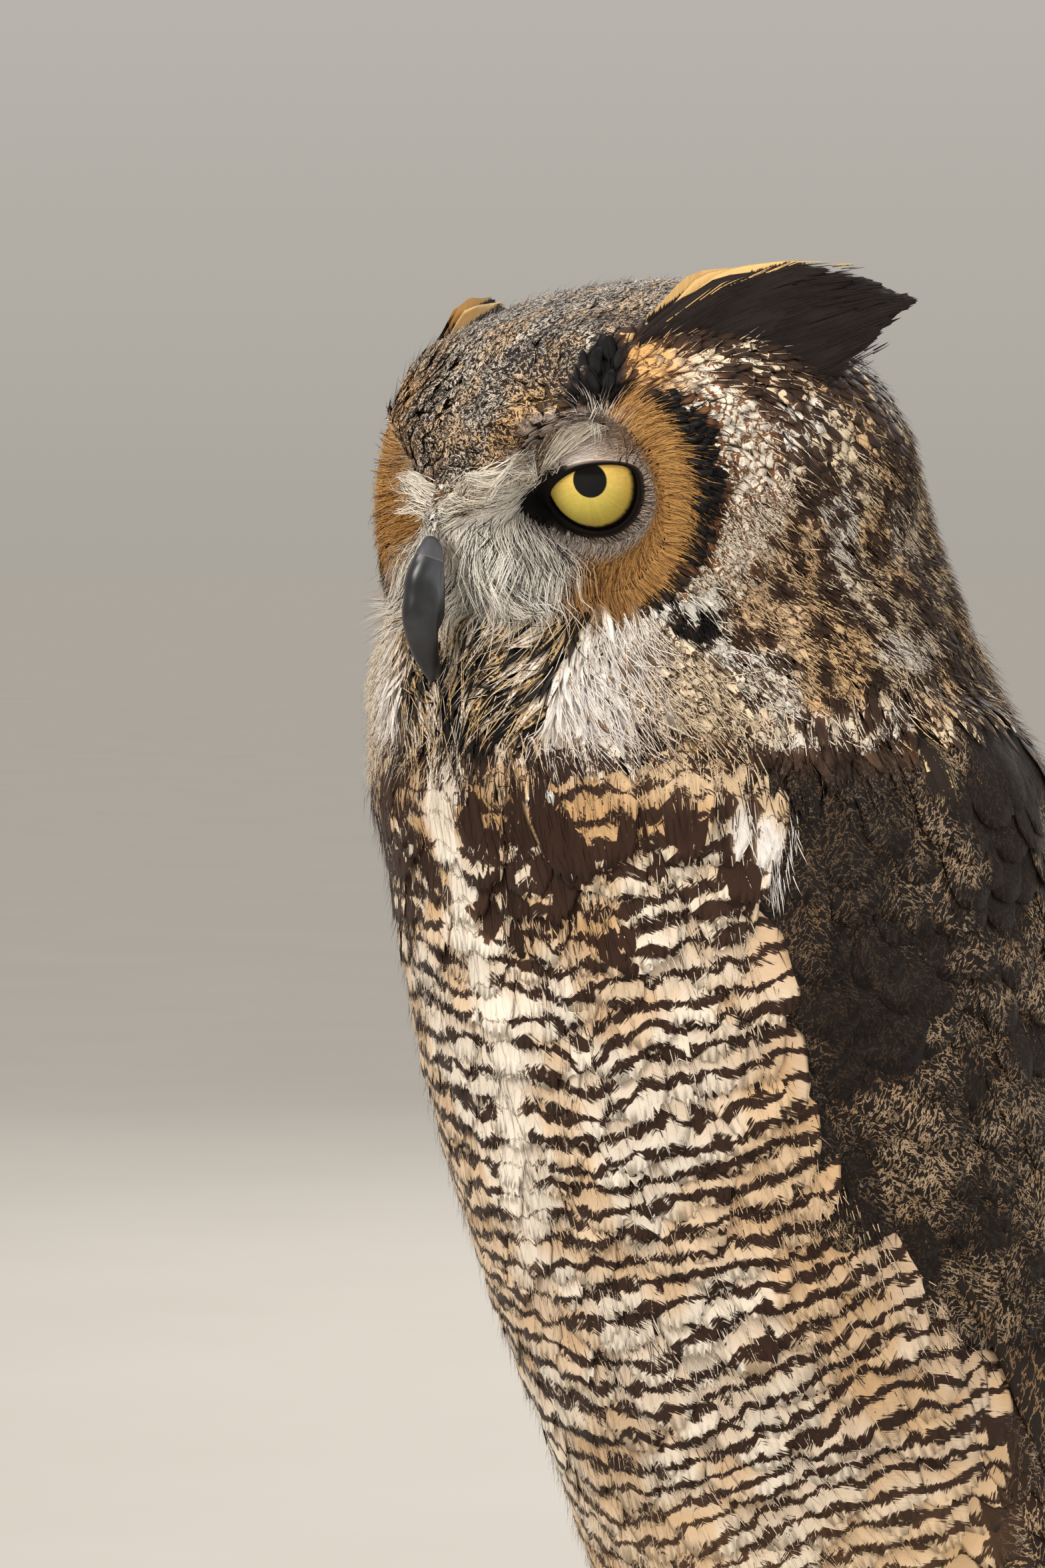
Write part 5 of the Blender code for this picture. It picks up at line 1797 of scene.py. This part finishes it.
def make_eyes():
    """Plain round eyeballs: the iris and the pupil are in their material."""
    for word, side in SIDES:
        bm = bmesh.new()
        bmesh.ops.create_uvsphere(bm, u_segments=64, v_segments=48, radius=EYE_RADIUS * MM)
        axis = Vector(HEAD_AXES @ eye_axes(side) @ np.array((0, -1, 0)))
        bmesh.ops.rotate(bm, verts=bm.verts, matrix=axis.to_track_quat("Z", "Y").to_matrix())
        bmesh.ops.translate(bm, verts=bm.verts, vec=Vector(from_head(eye_middle(side)) * MM))
        mesh = mesh_of(bm, f"eyeball_{word}")
        mesh.shade_smooth()
        mesh.materials.append(eye_finish(side))
        ball = add_object(f"eyeball_{word}", mesh)
        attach(ball, "root")
        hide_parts(f"eye_{word}")


ROUNDING = 2  # how many times each facet of the bill and claws is divided


def smoothed_copy(name, node):
    """A rounder copy of a CAD node, with its facets smoothed away."""
    bm = bmesh.new()
    bm.from_mesh(frame["nodes"][node].data)
    bmesh.ops.remove_doubles(bm, verts=bm.verts, dist=1e-6)
    mesh = mesh_of(bm, name)
    mesh.shade_smooth()
    if node.startswith("bill"):
        slim = slim_bill(points_of(mesh), node == "bill_upper") * MM
        mesh.vertices.foreach_set("co", slim.astype(np.float32).ravel())
    obj = add_object(name, mesh)
    step = obj.modifiers.new("round", "SUBSURF")
    step.levels = step.render_levels = ROUNDING
    mesh.materials.clear()
    mesh.materials.append(HORN)
    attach(obj, "root")
    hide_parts(node)


def make_bill_and_claws():
    smoothed_copy("bill_top", "bill_upper")
    smoothed_copy("bill_below", "bill_lower")
    for word, _ in SIDES:
        for toe in ("inner", "middle", "outer", "hind"):
            smoothed_copy(f"talon_{word}_{toe}", f"claw_{word}_{toe}")


# The studio --------------------------------------------------------------------------------------
def make_floor():
    bm = bmesh.new()
    bmesh.ops.create_grid(bm, x_segments=1, y_segments=1, size=60)
    mesh = mesh_of(bm, "floor")
    mesh.materials.append(floor_finish())
    add_object("floor", mesh)


def add_light(name, place, aim, size, power, colour):
    data = bpy.data.lights.new(name, "AREA")
    data.shape, data.size, data.energy, data.color = "DISK", size, power, colour
    light = bpy.data.objects.new(name, data)
    bpy.context.scene.collection.objects.link(light)
    light.location = place
    light.rotation_euler = (Vector(aim) - Vector(place)).to_track_quat("-Z", "Y").to_euler()


CAMERA_TURN, CAMERA_RISE = math.radians(46), math.radians(2)
CAMERA_AWAY = 1.5
CAMERA_ANGLE = math.radians(13.2)
CAMERA_AIM = Vector((0.0159, -0.1373, 0.2994))


def make_camera():
    data = bpy.data.cameras.new("camera")
    camera = bpy.data.objects.new("camera", data)
    bpy.context.scene.collection.objects.link(camera)
    back = Vector((
        math.sin(CAMERA_TURN) * math.cos(CAMERA_RISE),
        -math.cos(CAMERA_TURN) * math.cos(CAMERA_RISE),
        math.sin(CAMERA_RISE),
    ))
    camera.location = CAMERA_AIM + back * CAMERA_AWAY
    camera.rotation_euler = back.to_track_quat("Z", "Y").to_euler()
    data.angle = CAMERA_ANGLE
    bpy.context.scene.camera = camera


SKY_LOW, SKY_HIGH = (0.405, 0.38, 0.336, 1), (0.72, 0.71, 0.69, 1)


def light_studio():
    world = bpy.data.worlds.new("studio")
    world.use_nodes = True
    tree = world.node_tree
    place, parts = tree.nodes.new("ShaderNodeTexCoord"), tree.nodes.new("ShaderNodeSeparateXYZ")
    rise, blend = tree.nodes.new("ShaderNodeMapRange"), tree.nodes.new("ShaderNodeMix")
    rise.inputs["From Max"].default_value = 0.35
    blend.data_type = "RGBA"
    blend.inputs[6].default_value, blend.inputs[7].default_value = SKY_LOW, SKY_HIGH
    tree.links.new(place.outputs["Generated"], parts.inputs[0])
    tree.links.new(parts.outputs["Z"], rise.inputs[0])
    tree.links.new(rise.outputs[0], blend.inputs[0])
    tree.links.new(blend.outputs[2], tree.nodes["Background"].inputs["Color"])
    bpy.context.scene.world = world
    add_light("key", (0.1, -1.9, 1.7), (0, -0.05, 0.3), 1.1, 42, (1.0, 0.965, 0.92))
    add_light("fill", (2.0, -0.4, 0.9), (0, 0, 0.25), 1.6, 14, (0.95, 0.97, 1.0))
    add_light("behind", (-1.0, 1.7, 1.3), (0, 0, 0.25), 1.2, 18, (1.0, 0.98, 0.95))
    bpy.context.scene.view_settings.view_transform = "Standard"


dress_skin()
make_eyes()
make_bill_and_claws()
make_face()
make_bristles()
make_rim()
make_crown()
make_head_sides()
make_chin()
make_neck()
make_breast()
make_wings()
make_legs()
make_tufts()
make_flight_feathers()
make_tail()
make_floor()
light_studio()
make_camera()
